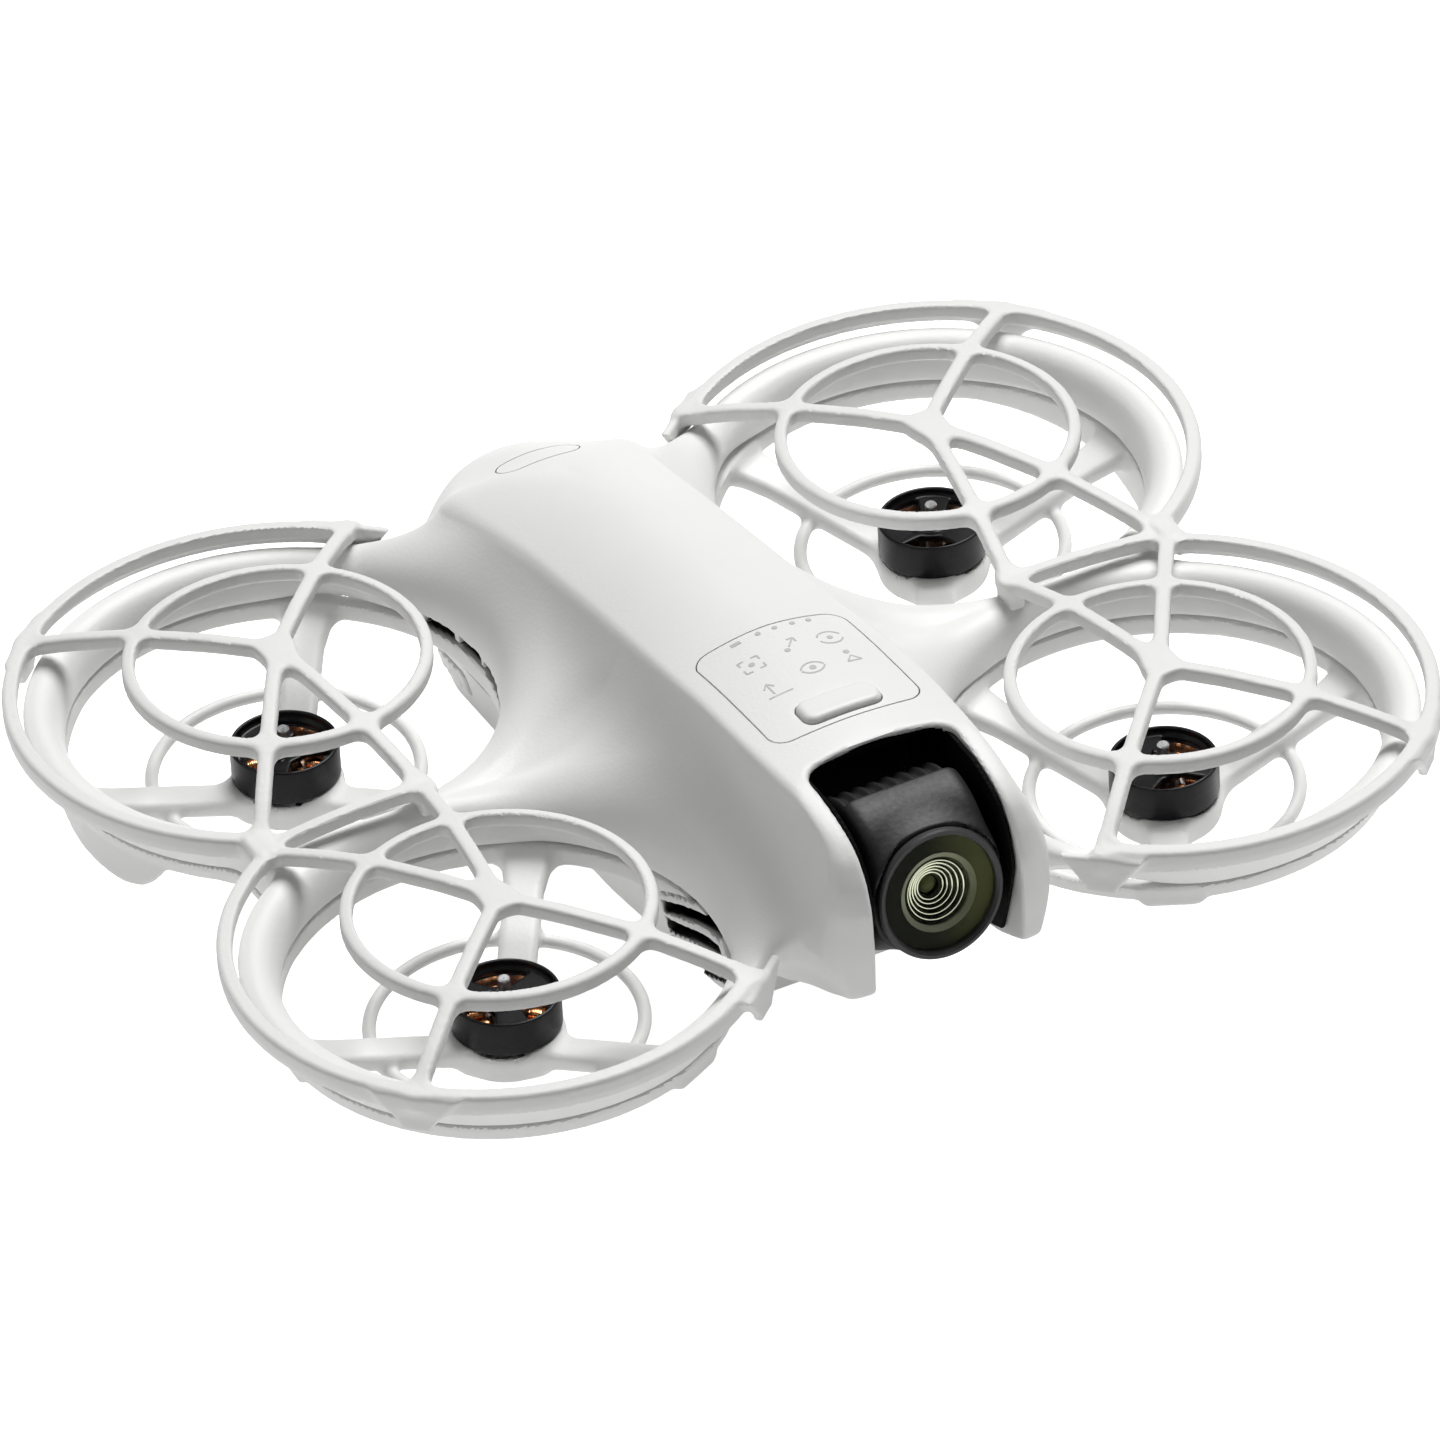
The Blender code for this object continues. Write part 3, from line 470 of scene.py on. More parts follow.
SHELL = moulded("shell_plastic", (0.80, 0.80, 0.79), 0.46, 2600.0, 0.22)
GUARD = moulded("guard_plastic", (0.77, 0.77, 0.76), 0.52, 1500.0, 0.5)
BLACK = moulded("camera_black", (0.017, 0.017, 0.018), 0.50, 1600.0, 0.3, 0.2, 0.38)
BAY = moulded("bay_black", (0.003, 0.003, 0.003), 0.7, 1500.0, 0.2, 0.2, 0.08)
BELL = moulded("bell_black", (0.004, 0.004, 0.005), 0.30, 6000.0, 0.03, 0.2, 0.25)
RING = moulded("lens_ring_grey", (0.050, 0.050, 0.052), 0.42, 2500.0, 0.15, 0.15, 0.4)
INK = moulded("icon_ink", (0.50, 0.50, 0.50), 0.6, 2500.0, 0.1)
STEEL = metal("motor_steel", (0.62, 0.62, 0.63), 0.28)
DARK_STEEL = metal("dark_steel", (0.10, 0.10, 0.105), 0.35)
COPPER = metal("copper_wire", (0.80, 0.36, 0.16), 0.24)
BOARD = moulded("circuit_board", (0.015, 0.07, 0.035), 0.4, 900.0, 0.4, 0.3)
CERAMIC = moulded("ceramic", (0.55, 0.50, 0.40), 0.5, 1200.0, 0.2)
FOIL = metal("cell_foil", (0.55, 0.56, 0.58), 0.35, 900.0, 0.5)
SMOKED = moulded("smoked_window", (0.02, 0.02, 0.025), 0.12, 3000.0, 0.03)


# --- fuselage field ---

TOP = curve([(-70, 46.8), (-41, 48.1), (-33, 48.5), (-20, 48.3), (-14, 47.9), (0, 46.8),
             (11, 45.6), (26, 43.1), (36.8, 40.2), (47.3, 37.1), (60, 33.0), (80, 26.2)])
RIDGE_DROP = curve([(-60, 0.3), (-44, 0.5), (-32, 1.5), (-21, 2.1), (-11, 3.1), (0, 3.9),
                    (11, 4.3), (26, 4.4), (45, 4.0), (60, 3.5)])
RIDGE_X = curve([(-60, 12.0), (-52.8, 12.2), (-44, 12.7), (-32, 13.1), (-11, 12.8),
                 (11, 12.3), (26, 11.9), (40, 11.4), (50, 10.4), (60, 9.0)])
FOOT_X = curve([(-58, 12.4), (-52, 12.9), (-46, 14.6), (-41, 16.6), (-36, 18.6), (-30, 19.6),
                (-18, 20.4), (-6, 21.6), (8, 21.6), (22, 20.0), (34, 19.6), (45, 18.2),
                (52, 16.0), (60, 14.2)])
CROWN_POWER = 1.8
NOSE_Y = curve([(10, -58.2), (24, -58.5), (32, -58.9), (37.5, -58.6), (41, -57.6),
                (43.9, -55.6), (45.6, -52.6), (46.8, -48.6), (47.6, -44.0), (48.4, -38.0),
                (49.4, -30.0)], 0.6)
CHEEK_RISE = curve([(20, 0.0), (25.2, 0.4), (27.8, 1.8), (30.6, 2.8), (34.8, 3.0), (38.7, 2.5),
                    (42.9, 1.2), (46.0, 0.1), (50.0, 0.0)], 0.8)
CHEEK_FADE = curve([(-60, 1.0), (-55.5, 1.0), (-50, 0.74), (-45, 0.48), (-38, 0.18), (-30, 0.0)], 1.5)
RIDGE_SOFT = curve([(-60, 2.2), (-46, 1.4), (-30, 0.9), (20, 0.8), (50, 1.2), (60, 2.0)])
FILLET = curve([(-60, 8.0), (-42, 11.0), (-25, 15.0), (60, 15.0)])
SHELL_FOOT = curve([(-60, 26.6), (-57, 25.0), (-52, 22.9), (-46, 21.7), (-41, 21.7),
                    (-36.5, 22.6), (-31, 23.2), (60, 23.2)], 1.0)
# How far a rear duct's wall reaches down, by the angle round its rotor
FOOT_DEPTH = curve([(-180, 0.0), (-32.5, 0.0), (-30.5, 1.4), (-28.5, 2.6), (-25, 3.9),
                    (-19, 4.6), (-12, 4.5), (-3, 4.0), (10, 2.6), (20, 1.7), (35, 0.8),
                    (50, 0.0), (180, 0.0)], 1.0)
# Half width of the lower frame's tub between the rear rotors, by height
TUB_HALF = curve([(0, 12.4), (9, 12.8), (12, 13.2), (17.2, 15.6), (20.4, 18.5), (22, 18.7),
                  (30, 18.8)], 0.3)


def hull(x, y, z):
    """Outer skin of the body without the nose's front boundary."""
    ax = np.abs(x)
    top, drop_z, ridge_x, foot_x = TOP(y), RIDGE_DROP(y), RIDGE_X(y), FOOT_X(y)
    share = ax / ridge_x
    crown = top - drop_z * share ** CROWN_POWER
    lean = CROWN_POWER * drop_z / ridge_x * share ** (CROWN_POWER - 1.0)
    above = (z - crown) / np.sqrt(1.1 + lean * lean)
    ridge_z = top - drop_z
    fall = unit((ridge_z - z) / (ridge_z - SEAM_Z))
    half = ridge_x + (foot_x - ridge_x) * (0.4 * fall + 0.6 * fall ** 2)
    half = half - 0.2 * np.maximum(SEAM_Z - z, 0.0) + CHEEK_RISE(z) * CHEEK_FADE(y)
    flare = (foot_x - ridge_x) * (0.4 + 1.2 * fall) / (ridge_z - SEAM_Z)
    beside = (ax - half) / np.sqrt(1.0 + flare * flare)
    body = smax(above, beside, RIDGE_SOFT(y))
    rise = np.maximum(z - 24.0, 0.0)
    behind = y - (62.3 - 0.075 * rise ** 2 - 0.040 * ax ** 2)
    behind = behind / np.sqrt(1.0 + (0.080 * ax) ** 2 + (0.15 * rise) ** 2)
    return smax(body, behind, 3.5)


def fuselage(x, y, z):
    """Outer skin of the body, from the crowned top down past the seam."""
    front = NOSE_Y(z) + 0.09 * np.maximum(np.abs(x) - BAY_HALF, 0.0) ** 2
    return smax(hull(x, y, z), (front - y) * 0.85, 1.3)


def rotor_radius(x, y):
    """Distance from the nearest rotor's axis."""
    return np.hypot(np.abs(x) - ROTOR_X, np.abs(y) - ROTOR_Y)


def beyond_mouth(radius, z):
    """Negative outside the bore and its bell mouth, where material may be."""
    reach = np.maximum(LIP_R - radius, 0.0)
    climb = np.maximum(z - MOUTH_Z, 0.0)
    across = (LIP_R - DUCT_R)
    level = np.hypot(reach / across, climb / MOUTH_RISE)
    level = np.maximum(level, 1e-4)
    steep = np.hypot(reach / across ** 2, climb / MOUTH_RISE ** 2) / level
    curved = (level - 1.0) / np.maximum(steep, 1e-4)
    return smin(curved, LIP_R - radius, 0.6)


def mouth(x, radius, z):
    """Bell mouth out on the arms, plain bore with soft shoulders by the body."""
    share = unit((np.abs(x) - 24.0) / 18.0)
    share = share * share * (3.0 - 2.0 * share)
    return share * beyond_mouth(radius, z) + (1.0 - share) * (DUCT_R - radius), 6.0 - 4.4 * share


def bay(x, y):
    """Negative inside the camera bay's plan."""
    edge = -40.3 - 1.2 * (x / BAY_HALF) ** 2
    return smax(np.abs(x) - BAY_HALF, y - edge, 2.6)


def shell_field(x, y, z):
    """Upper shell: body cover, webs and duct lips, bored and hollowed."""
    radius = rotor_radius(x, y)
    body = fuselage(x, y, z)
    wall = np.minimum(LIP_OUT_R, 28.9 + 0.62 * (z - SEAM_Z))
    lip = smax(z - LIP_TOP, (radius - wall) * 0.9, 2.0)
    web = smax(smax(z - SADDLE_Z, np.abs(y) - WEB_HALF_Y, 2.0), np.abs(x) - WEB_END_X, 3.0)
    solid = smin(body, smin(lip, web, 1.5), FILLET(y))
    open_space, soft = mouth(x, radius, z)
    solid = smax(solid, open_space, soft)
    solid = smax(solid, -bay(x, y), 0.6)
    skin = SKIN - 0.75 * unit((-37.0 - y) / 3.0)
    hollow = np.maximum(np.maximum(body + skin, open_space + SKIN), -41.5 - y)
    solid = np.maximum(solid, -hollow)
    bay_corner = np.maximum(np.maximum(np.abs(x) - BAY_HALF - 0.3, np.abs(y + 41.5) - 2.0), body + 1.1)
    solid = np.maximum(solid, -bay_corner)
    inner = unit((17.5 - np.abs(x)) / 2.0)
    foot = SEAM_Z + (SHELL_FOOT(y) - SEAM_Z) * inner
    solid = smax(solid, foot - z, 0.5)
    return np.maximum(solid, -rear_slot(x, y, z, radius))


def liner_field(x, y, z):
    """Black lining of the camera bay, with stiffening ribs under the roof."""
    body = hull(x, y, z)
    under_key = 1.9 * unit((y + 37.5) / 1.5)
    outer = np.maximum(np.maximum(body + 0.85 + under_key, np.abs(x) - BAY_HALF + 0.2), y + 31.0)
    outer = smax(outer, NOSE_Y(z) + 1.0 + 0.3 * np.maximum(36.0 - z, 0.0) - y, 0.3)
    outer = smax(outer, SHELL_FOOT(y) + 1.3 - z, 0.3)
    ribs = 0.5 * unit(np.sin(TURN * x / 2.6) * 3.0) * (y > -38.5)
    roof = np.minimum(body + 1.7 + under_key + ribs, y + 40.4)
    room = smax(np.maximum(np.abs(x) - BAY_HALF + 0.7, roof), y + 32.0, 0.8)
    return smax(outer, -room, 0.2)


def tub(x, y, z):
    """Outer skin of the body's lower half, raked in front, waisted behind."""
    front = -42.0 + 1.15 * np.maximum(20.0 - z, 0.0) - 1.5 * np.maximum(z - 20.0, 0.0)
    skin = smax(fuselage(x, y, z), (front - y) * 0.7, 1.5)
    waist = np.abs(x) - TUB_HALF(z) - 12.0 * unit((14.0 - y) / 16.0)
    return smax(skin, waist * 0.8, 0.6)


def frame_field(x, y, z):
    """Lower frame: tub, webs, duct walls, cups, spokes and hoops."""
    radius = rotor_radius(x, y)
    skin = tub(x, y, z)
    web = smax(np.abs(z - 22.2) - 0.75, smax(np.abs(y) - WEB_HALF_Y, np.abs(x) - WEB_END_X, 3.0), 0.6)
    outer = 28.2 + 0.35 * np.maximum(z - 21.0, 0.0)
    turn = np.degrees(np.arctan2(y - ROTOR_Y, np.abs(x) - ROTOR_X))
    wall_low = DUCT_FLOOR - FOOT_DEPTH(np.where(y > 0.0, turn, 90.0))
    wall = smax(np.maximum(z - 24.0, wall_low - z), radius - outer, 0.8)
    solid = smin(smin(skin, web, 2.5), wall, 2.0)
    solid = smax(solid, DUCT_R - radius, 0.5)
    room = np.maximum(np.maximum(skin + 1.4, DUCT_R + 1.4 - radius), FRAME_LOW + 1.3 - z)
    solid = np.maximum(solid, -room)
    inner = unit((17.5 - np.abs(x)) / 2.0)
    ceiling = SEAM_Z + (SHELL_FOOT(y) - SEAM_Z) * inner - 0.3
    solid = smax(solid, z - ceiling, 0.5)
    solid = np.maximum(solid, -np.minimum(louvres(x, y, z), rear_slot(x, y, z, radius)))
    port = rounded_box(x, z - 17.1, 4.9, 1.9, 1.8)
    solid = smax(solid, -np.maximum(port, 50.0 - y), 0.3)
    solid = smax(solid, FRAME_LOW - z, 0.8)
    swing = np.minimum(CAMERA_SWING - np.hypot(y - PIVOT_Y, z - PIVOT_Z), BAY_HALF + 0.4 - np.abs(x))
    solid = smax(solid, swing, 0.5)
    return smin(solid, carrier_field(x, y, z), 1.6)


def in_side(x):
    """Negative within the body's side walls."""
    return np.maximum(np.abs(x) - 24.0, 12.0 - np.abs(x))


def louvres(x, y, z):
    """Slanted slits in the body's side behind each front rotor."""
    middle_y, middle_z, slope, pitch, half_slit = -28.0, 17.6, 0.33, 3.1, 1.05
    rise = z - middle_z + slope * (y - middle_y)
    slats = np.abs((rise + pitch / 2.0) % pitch - pitch / 2.0) - half_slit
    slits = smax(smax(np.abs(y - middle_y) - 7.4, np.abs(rise) - 5.6, 0.6), slats, 0.5)
    return np.maximum(slits, in_side(x))


def rear_slot(x, y, z, radius):
    """Long narrow vent under the shell's edge, crossed by thin ribs."""
    pitch, half_bay = 6.27, 2.85
    bays = np.abs((y - 21.6) % pitch - 3.13) - half_bay
    slot = smax(np.maximum(np.abs(z - SEAM_Z - 0.35) - 0.9, np.abs(y - 31.0) - 9.4), bays, 0.2)
    return np.maximum(np.maximum(slot, radius - 30.5), in_side(x))


CUP_R = 7.2
CUP_LOW = 12.1
CUP_TOP = 16.2
POCKET_R = 6.3
POCKET_FLOOR = 13.2
HOOP_R = 16.5
HOOP_Z = 16.6
HOOP_HALF = 0.85
SPOKE_ANGLES = (3.0, 123.0, 243.0)
SPOKE_TOP = 15.9
SPOKE_RISE = 6.5
SPOKE_HALF_WIDTH = 2.4
SPOKE_HALF_DEPTH = 1.25


def carrier_field(x, y, z):
    """Motor cups, spokes and hoops of the four corners."""
    ax = np.abs(x)
    radius = rotor_radius(x, y)
    cup_side = radius - CUP_R - 0.08 * (z - CUP_TOP)
    cup = smax(cup_side, np.maximum(CUP_LOW - z, z - CUP_TOP), 1.6)
    cup = smax(cup, z - CUP_TOP, 0.3)
    pocket = np.maximum(radius - POCKET_R, POCKET_FLOOR - z)
    spokes = None
    for end in (1, -1):
        u, v = ax - ROTOR_X, y - end * ROTOR_Y
        for degrees in SPOKE_ANGLES:
            along, across = turned_plan(u, v, degrees)
            share = unit((along - 6.6) / 20.6)
            top = SPOKE_TOP + SPOKE_RISE * share
            half = SPOKE_HALF_WIDTH + 3.6 * np.maximum(share - 0.75, 0.0)
            section = rounded_box(across, z - top + SPOKE_HALF_DEPTH, half, SPOKE_HALF_DEPTH, 0.9)
            spoke = np.maximum(section, np.maximum(4.0 - along, along - 27.9))
            spokes = spoke if spokes is None else np.minimum(spokes, spoke)
    hoop = np.hypot(radius - HOOP_R, z - HOOP_Z) - HOOP_HALF
    solid = smin(smin(cup, spokes, 2.2), hoop, 1.2)
    return smax(solid, -pocket, 0.3)


# --- guards field ---

GUARD_TOP = curve([(-10, 35.9), (0, 35.8), (8, 35.6), (18.2, 34.6), (26.5, 32.7),
                   (32.4, 30.9), (38, 30.4), (60, 30.2)], 1.2)
# Where a guard's long spokes point, and the two nodes where its halves meet
INNER_SPOKE = 131.7
OUTER_SPOKE = 45.2
INNER_NODE, OUTER_NODE = (40.4, 0.0), (62.4, 0.0)
RING_R = 18.2
RIM_R = 32.2
RIM_SHIFT = 0.7
BAR_DEPTH = 2.0
BAR_EDGE = 0.45


def strip(x, y, start, end, half):
    """Plan distance to a straight strip with round ends."""
    run_x, run_y = end[0] - start[0], end[1] - start[1]
    share = ((x - start[0]) * run_x + (y - start[1]) * run_y) / (run_x ** 2 + run_y ** 2)
    share = unit(share)
    return np.hypot(x - start[0] - share * run_x, y - start[1] - share * run_y) - half


def rim_end(u, v):
    """How far a point lies past either end of the guard's outer arc."""
    angle = np.degrees(np.arctan2(v, u))
    inner_limit, outer_limit = INNER_SPOKE, -56.5
    past = np.maximum(angle - inner_limit, outer_limit - angle)
    past = np.where(angle < -141.0, angle + 360.0 - inner_limit, past)
    return np.radians(past) * 32.0


def guard_field(x, y, z):
    """One guard on the +X side: domed bars over the front and rear duct."""
    ay = np.abs(y)
    u, v = x - ROTOR_X, ay - ROTOR_Y
    radius = np.hypot(u, v)

    def polar(distance, degrees):
        turn = math.radians(degrees)
        return (ROTOR_X + distance * math.cos(turn), ROTOR_Y + distance * math.sin(turn))

    plan = None
    for end in (polar(32.4, INNER_SPOKE), polar(32.8, OUTER_SPOKE), OUTER_NODE, INNER_NODE):
        spoke = strip(x, ay, (ROTOR_X, ROTOR_Y), end, 0.95)
        plan = spoke if plan is None else smin(plan, spoke, 2.6)
    plan = smin(plan, np.abs(radius - RING_R) - 0.8, 1.8)
    rim_r = np.hypot(u - RIM_SHIFT, v)
    past = rim_end(u, v)
    rim = np.maximum(np.abs(rim_r - RIM_R) - 0.9, past)
    plan = smin(plan, rim, 2.2)
    plan = smin(plan, strip(x, y, INNER_NODE, OUTER_NODE, 0.85), 2.6)
    level = np.abs(z - GUARD_TOP(radius) + BAR_DEPTH / 2.0) - BAR_DEPTH / 2.0
    both = np.hypot(np.maximum(plan + BAR_EDGE, 0.0), np.maximum(level + BAR_EDGE, 0.0))
    solid = both + np.minimum(np.maximum(plan, level) + BAR_EDGE, 0.0) - BAR_EDGE
    skirt = rounded_box(rim_r - RIM_R - 0.42, z - 29.5, 0.48, 1.35, 0.35)
    solid = smin(solid, np.maximum(skirt, past), 0.5)
    for degrees in (INNER_SPOKE, OUTER_SPOKE):
        along, across = turned_plan(u, v, degrees)
        reach = 1.9 + 0.75 * np.clip(z - 26.0, 0.0, 6.0)
        tongue = rounded_box(along - 33.1, across, 0.6, reach, 0.45)
        tongue = smax(tongue, np.abs(z - 27.9) - 2.5, 0.5)
        solid = smin(solid, tongue, 1.2)
    for node in (INNER_NODE, OUTER_NODE):
        peg = rounded_box(x - node[0], y, 1.1, 2.0, 0.6)
        solid = smin(solid, smax(peg, np.abs(z - 29.6) - 1.5, 0.3), 1.0)
    return solid


# --- airframe ---

BATTERY_TOP = high("battery_lid")[2]
BATTERY_NOSE = low("battery_tray")[1]
BATTERY_TAIL = high("battery_tray")[1]
LATCH_Y = middle("battery_latch_left")[1]
LATCH_Z = middle("battery_latch_left")[2]
MODE_Y = -32.3
MODE_HALF_X = 5.2
MODE_HALF_Y = 2.2
SEAM_GAP = 0.2
# Corners, corner radius, bottom and top of the blocks that part plates from the shell
PANEL_BLOCK = (-10.05, -35.4, 10.05, -13.3, 2.2, 42.0, 52.0)
POWER_BLOCK = (-5.5, 45.2, 5.5, 49.4, 2.09, 31.0, 42.0)
MODE_BLOCK = (-MODE_HALF_X, MODE_Y - MODE_HALF_Y, MODE_HALF_X, MODE_Y + MODE_HALF_Y,
              1.5, 40.0, 55.0)


def top_height(x, y):
    """Height of the crowned top between the ridges."""
    return float(TOP(y) - RIDGE_DROP(y) * (abs(x) / RIDGE_X(y)) ** CROWN_POWER)


def plate(name, margin, x0, y0, x1, y1, radius, bottom, top):
    outline = rounded_outline(x0 - margin, y0 - margin, x1 + margin, y1 + margin, radius + margin)
    return prism(name, outline, bottom, top, SHELL)


def split_off(shell, name, block):
    """Part a plate from the shell along a thin seam and return it."""
    piece = linked(name, shell.data.copy())
    inside = plate("inside", 0.0, *block)
    pocket = plate("pocket", SEAM_GAP, *block)
    boolean(piece, inside, "INTERSECT")
    boolean(shell, pocket)
    drop(inside, pocket)
    return piece


def airframe():
    """Upper shell with its panel and rear button, and the lower frame."""
    shell = moulding("shell_cover", shell_field, (0, -62, 19), (80, 64, 50), 0.4, SHELL, True)
    # Painted shade on the shell's hidden inner faces and vent slits
    paint_inner_shade(shell, fuselage)
    panel = split_off(shell, "panel_plate", PANEL_BLOCK)
    power = split_off(shell, "power_pill", POWER_BLOCK)
    hole = plate("hole", SEAM_GAP, *MODE_BLOCK)
    boolean(panel, hole)
    drop(hole)
    for obj in (shell, panel, power):
        obj.data.shade_smooth()
        obj.data.set_sharp_from_angle(angle=math.radians(40.0))
    ride(shell, "airframe", "shell_white", "upper_shell")
    ride(panel, "airframe", "shell_white", "control_panel")
    ride(power, "power_button", "shell_white", "power_button")
    lower = moulding("frame_tub", frame_field, (0, -62, 9.5), (80, 62, 24.5), 0.42, SHELL, True)
    # Painted shade on the frame's hidden inner faces and vent slits
    paint_inner_shade(lower, tub)
    ride(lower, "airframe", "shell_white", "lower_frame")
    liner = moulding("bay_lining", liner_field, (0, -60, 20), (11, -30, 50), 0.3, BAY, True)
    ride(liner, "airframe", "inner_black", "bay_liner")


def guards():
    points, quads = net(guard_field, (17.5, -64.5, 24.5), (80, 64.5, 37.5), 0.36)
    left = mesh_object("guard_bars_left", points, quads, GUARD)
    ride(left, "guard_left", "guard_white", "guard_left")
    points, quads = flipped(points, quads)
    right = mesh_object("guard_bars_right", points, quads, GUARD)
    ride(right, "guard_right", "guard_white", "guard_right")


def battery_half(y, z):
    """Half width of the battery, waisted between the rear rotors."""
    top = 15.4 - 2.6 * unit((y + 8.0) / 22.0)
    return 10.0 + (top - 10.0) * z / BATTERY_TOP


def tray_field(x, y, z):
    """Battery case: thin walls, rounded tail, latch windows, finger ridges."""
    beside = (np.abs(x) - battery_half(y, z)) * 0.95
    tail = y - BATTERY_TAIL + 0.012 * x ** 2 + 0.12 * np.maximum(4.0 - z, 0.0) ** 2
    solid = smax(smax(beside, tail, 2.6), BATTERY_NOSE - y, 0.5)
    solid = smax(smax(solid, -z, 1.2), z - 9.3, 0.3)
    room = np.maximum(BATTERY_NOSE + 1.6 - y, 1.3 - z)
    room = np.maximum(np.maximum(beside + 1.2, tail + 2.2), room)
    solid = smax(solid, -room, 0.2)
    windows = rounded_box(y - LATCH_Y, z - LATCH_Z, 3.85, 1.95, 0.8)
    solid = smax(solid, -np.maximum(windows, 9.0 - np.abs(x)), 0.2)
    ridges_y, pitch = 36.0, 2.4
    ridges = np.hypot((y - ridges_y + pitch / 2.0) % pitch - pitch / 2.0, z + 0.35) - 0.75
    ridges = np.maximum(ridges, np.maximum(np.abs(y - ridges_y) - 5.9, np.abs(x) - 6.0))
    return smax(solid, -ridges, 0.2)


def lid_field(x, y, z):
    beside = np.abs(x) - battery_half(y, z) + 0.9
    tail = y - BATTERY_TAIL + 0.9 + 0.012 * x ** 2
    solid = smax(smax(beside, tail, 2.0), BATTERY_NOSE + 0.2 - y, 0.4)
    return smax(solid, np.abs(z - 9.98) - 0.66, 0.3)


def latch_field(x, y, z):
    """Press key in the case's side with three grip ridges."""
    grip = 0.14 * np.cos(TURN * (y - LATCH_Y) / 1.5) * (np.abs(y - LATCH_Y) < 2.6)
    face = x - battery_half(y, z) - 0.35 - grip
    key = smax(rounded_box(y - LATCH_Y, z - LATCH_Z, 3.55, 1.65, 0.7), face, 0.4)
    return smax(key, battery_half(y, z) - 1.5 - x, 0.2)


def battery():
    case = moulding("battery_case", tray_field, (0, -9, -0.6), (16.5, 60, 11), 0.42, SHELL, True)
    ride(case, "battery", "battery_white", "battery_tray")
    lid = moulding("battery_cover", lid_field, (0, -9, 8.8), (16.5, 60, 11.2), 0.45, SHELL, True)
    ride(lid, "battery", "battery_white", "battery_lid")
    points, quads = net(latch_field, (8.0, 46, 2), (14.5, 57, 10), 0.2)
    for side in ("left", "right"):
        name = f"battery_latch_{side}"
        ride(mesh_object(f"latch_key_{side}", points, quads, SHELL), name, "battery_white", name)
        points, quads = flipped(points, quads)


def mode_button():
    """Proud key with soft upper edges."""
    height = top_height(0.0, MODE_Y)

    def key(x, y, z):
        plan = rounded_box(x, y - MODE_Y, MODE_HALF_X, MODE_HALF_Y, 1.5)
        dome = z - (height + 0.75 - 0.008 * x * x)
        return smax(smax(plan, dome, 0.9), height - 1.9 - z, 0.2)

    lowest = (-6.0, MODE_Y - 3.0, height - 2.5)
    highest = (6.0, MODE_Y + 3.0, height + 1.5)
    button = moulding("mode_key", key, lowest, highest, 0.16, SHELL)
    ride(button, "mode_button", "shell_white", "mode_button")


def ribbon(bm, path, width, rise=0.04, depth=0.25):
    """A flat printed stroke along a path of plan points on the crowned top."""
    previous = None
    for index, (x, y) in enumerate(path):
        before = path[max(index - 1, 0)]
        after = path[min(index + 1, len(path) - 1)]
        run = math.hypot(after[0] - before[0], after[1] - before[1])
        across_x = (before[1] - after[1]) / run * width / 2.0
        across_y = (after[0] - before[0]) / run * width / 2.0
        ring = []
        for sign, down in ((1, 0.0), (-1, 0.0), (-1, depth), (1, depth)):
            px, py = x + sign * across_x, y + sign * across_y
            ring.append(bm.verts.new((px, py, top_height(px, py) + rise - down)))
        if previous is None:
            bm.faces.new(ring)
        else:
            for a, b in ((0, 1), (1, 2), (2, 3), (3, 0)):
                bm.faces.new((previous[a], previous[b], ring[b], ring[a]))
        previous = ring
    bm.faces.new(previous[::-1])


def arc(cx, cy, radius_x, radius_y, start, end, steps=10):
    """Plan points along an elliptical arc, angles in degrees."""
    points = []
    for step in range(steps + 1):
        angle = math.radians(start + (end - start) * step / steps)
        points.append((cx + radius_x * math.cos(angle), cy + radius_y * math.sin(angle)))
    return points


def dot(bm, x, y, radius, rise=0.04):
    """A small round printed spot."""
    ring = [(x + px, y + py) for px, py in arc(0.0, 0.0, radius, radius, 0.0, 337.5, 15)]
    upper = [bm.verts.new((px, py, top_height(px, py) + rise)) for px, py in ring]
    lower = [bm.verts.new((px, py, top_height(px, py) + rise - 0.25)) for px, py in ring]
    bm.faces.new(upper)
    bm.faces.new(lower[::-1])
    for index in range(len(ring)):
        following = (index + 1) % len(ring)
        bm.faces.new((upper[index], lower[index], lower[following], upper[following]))


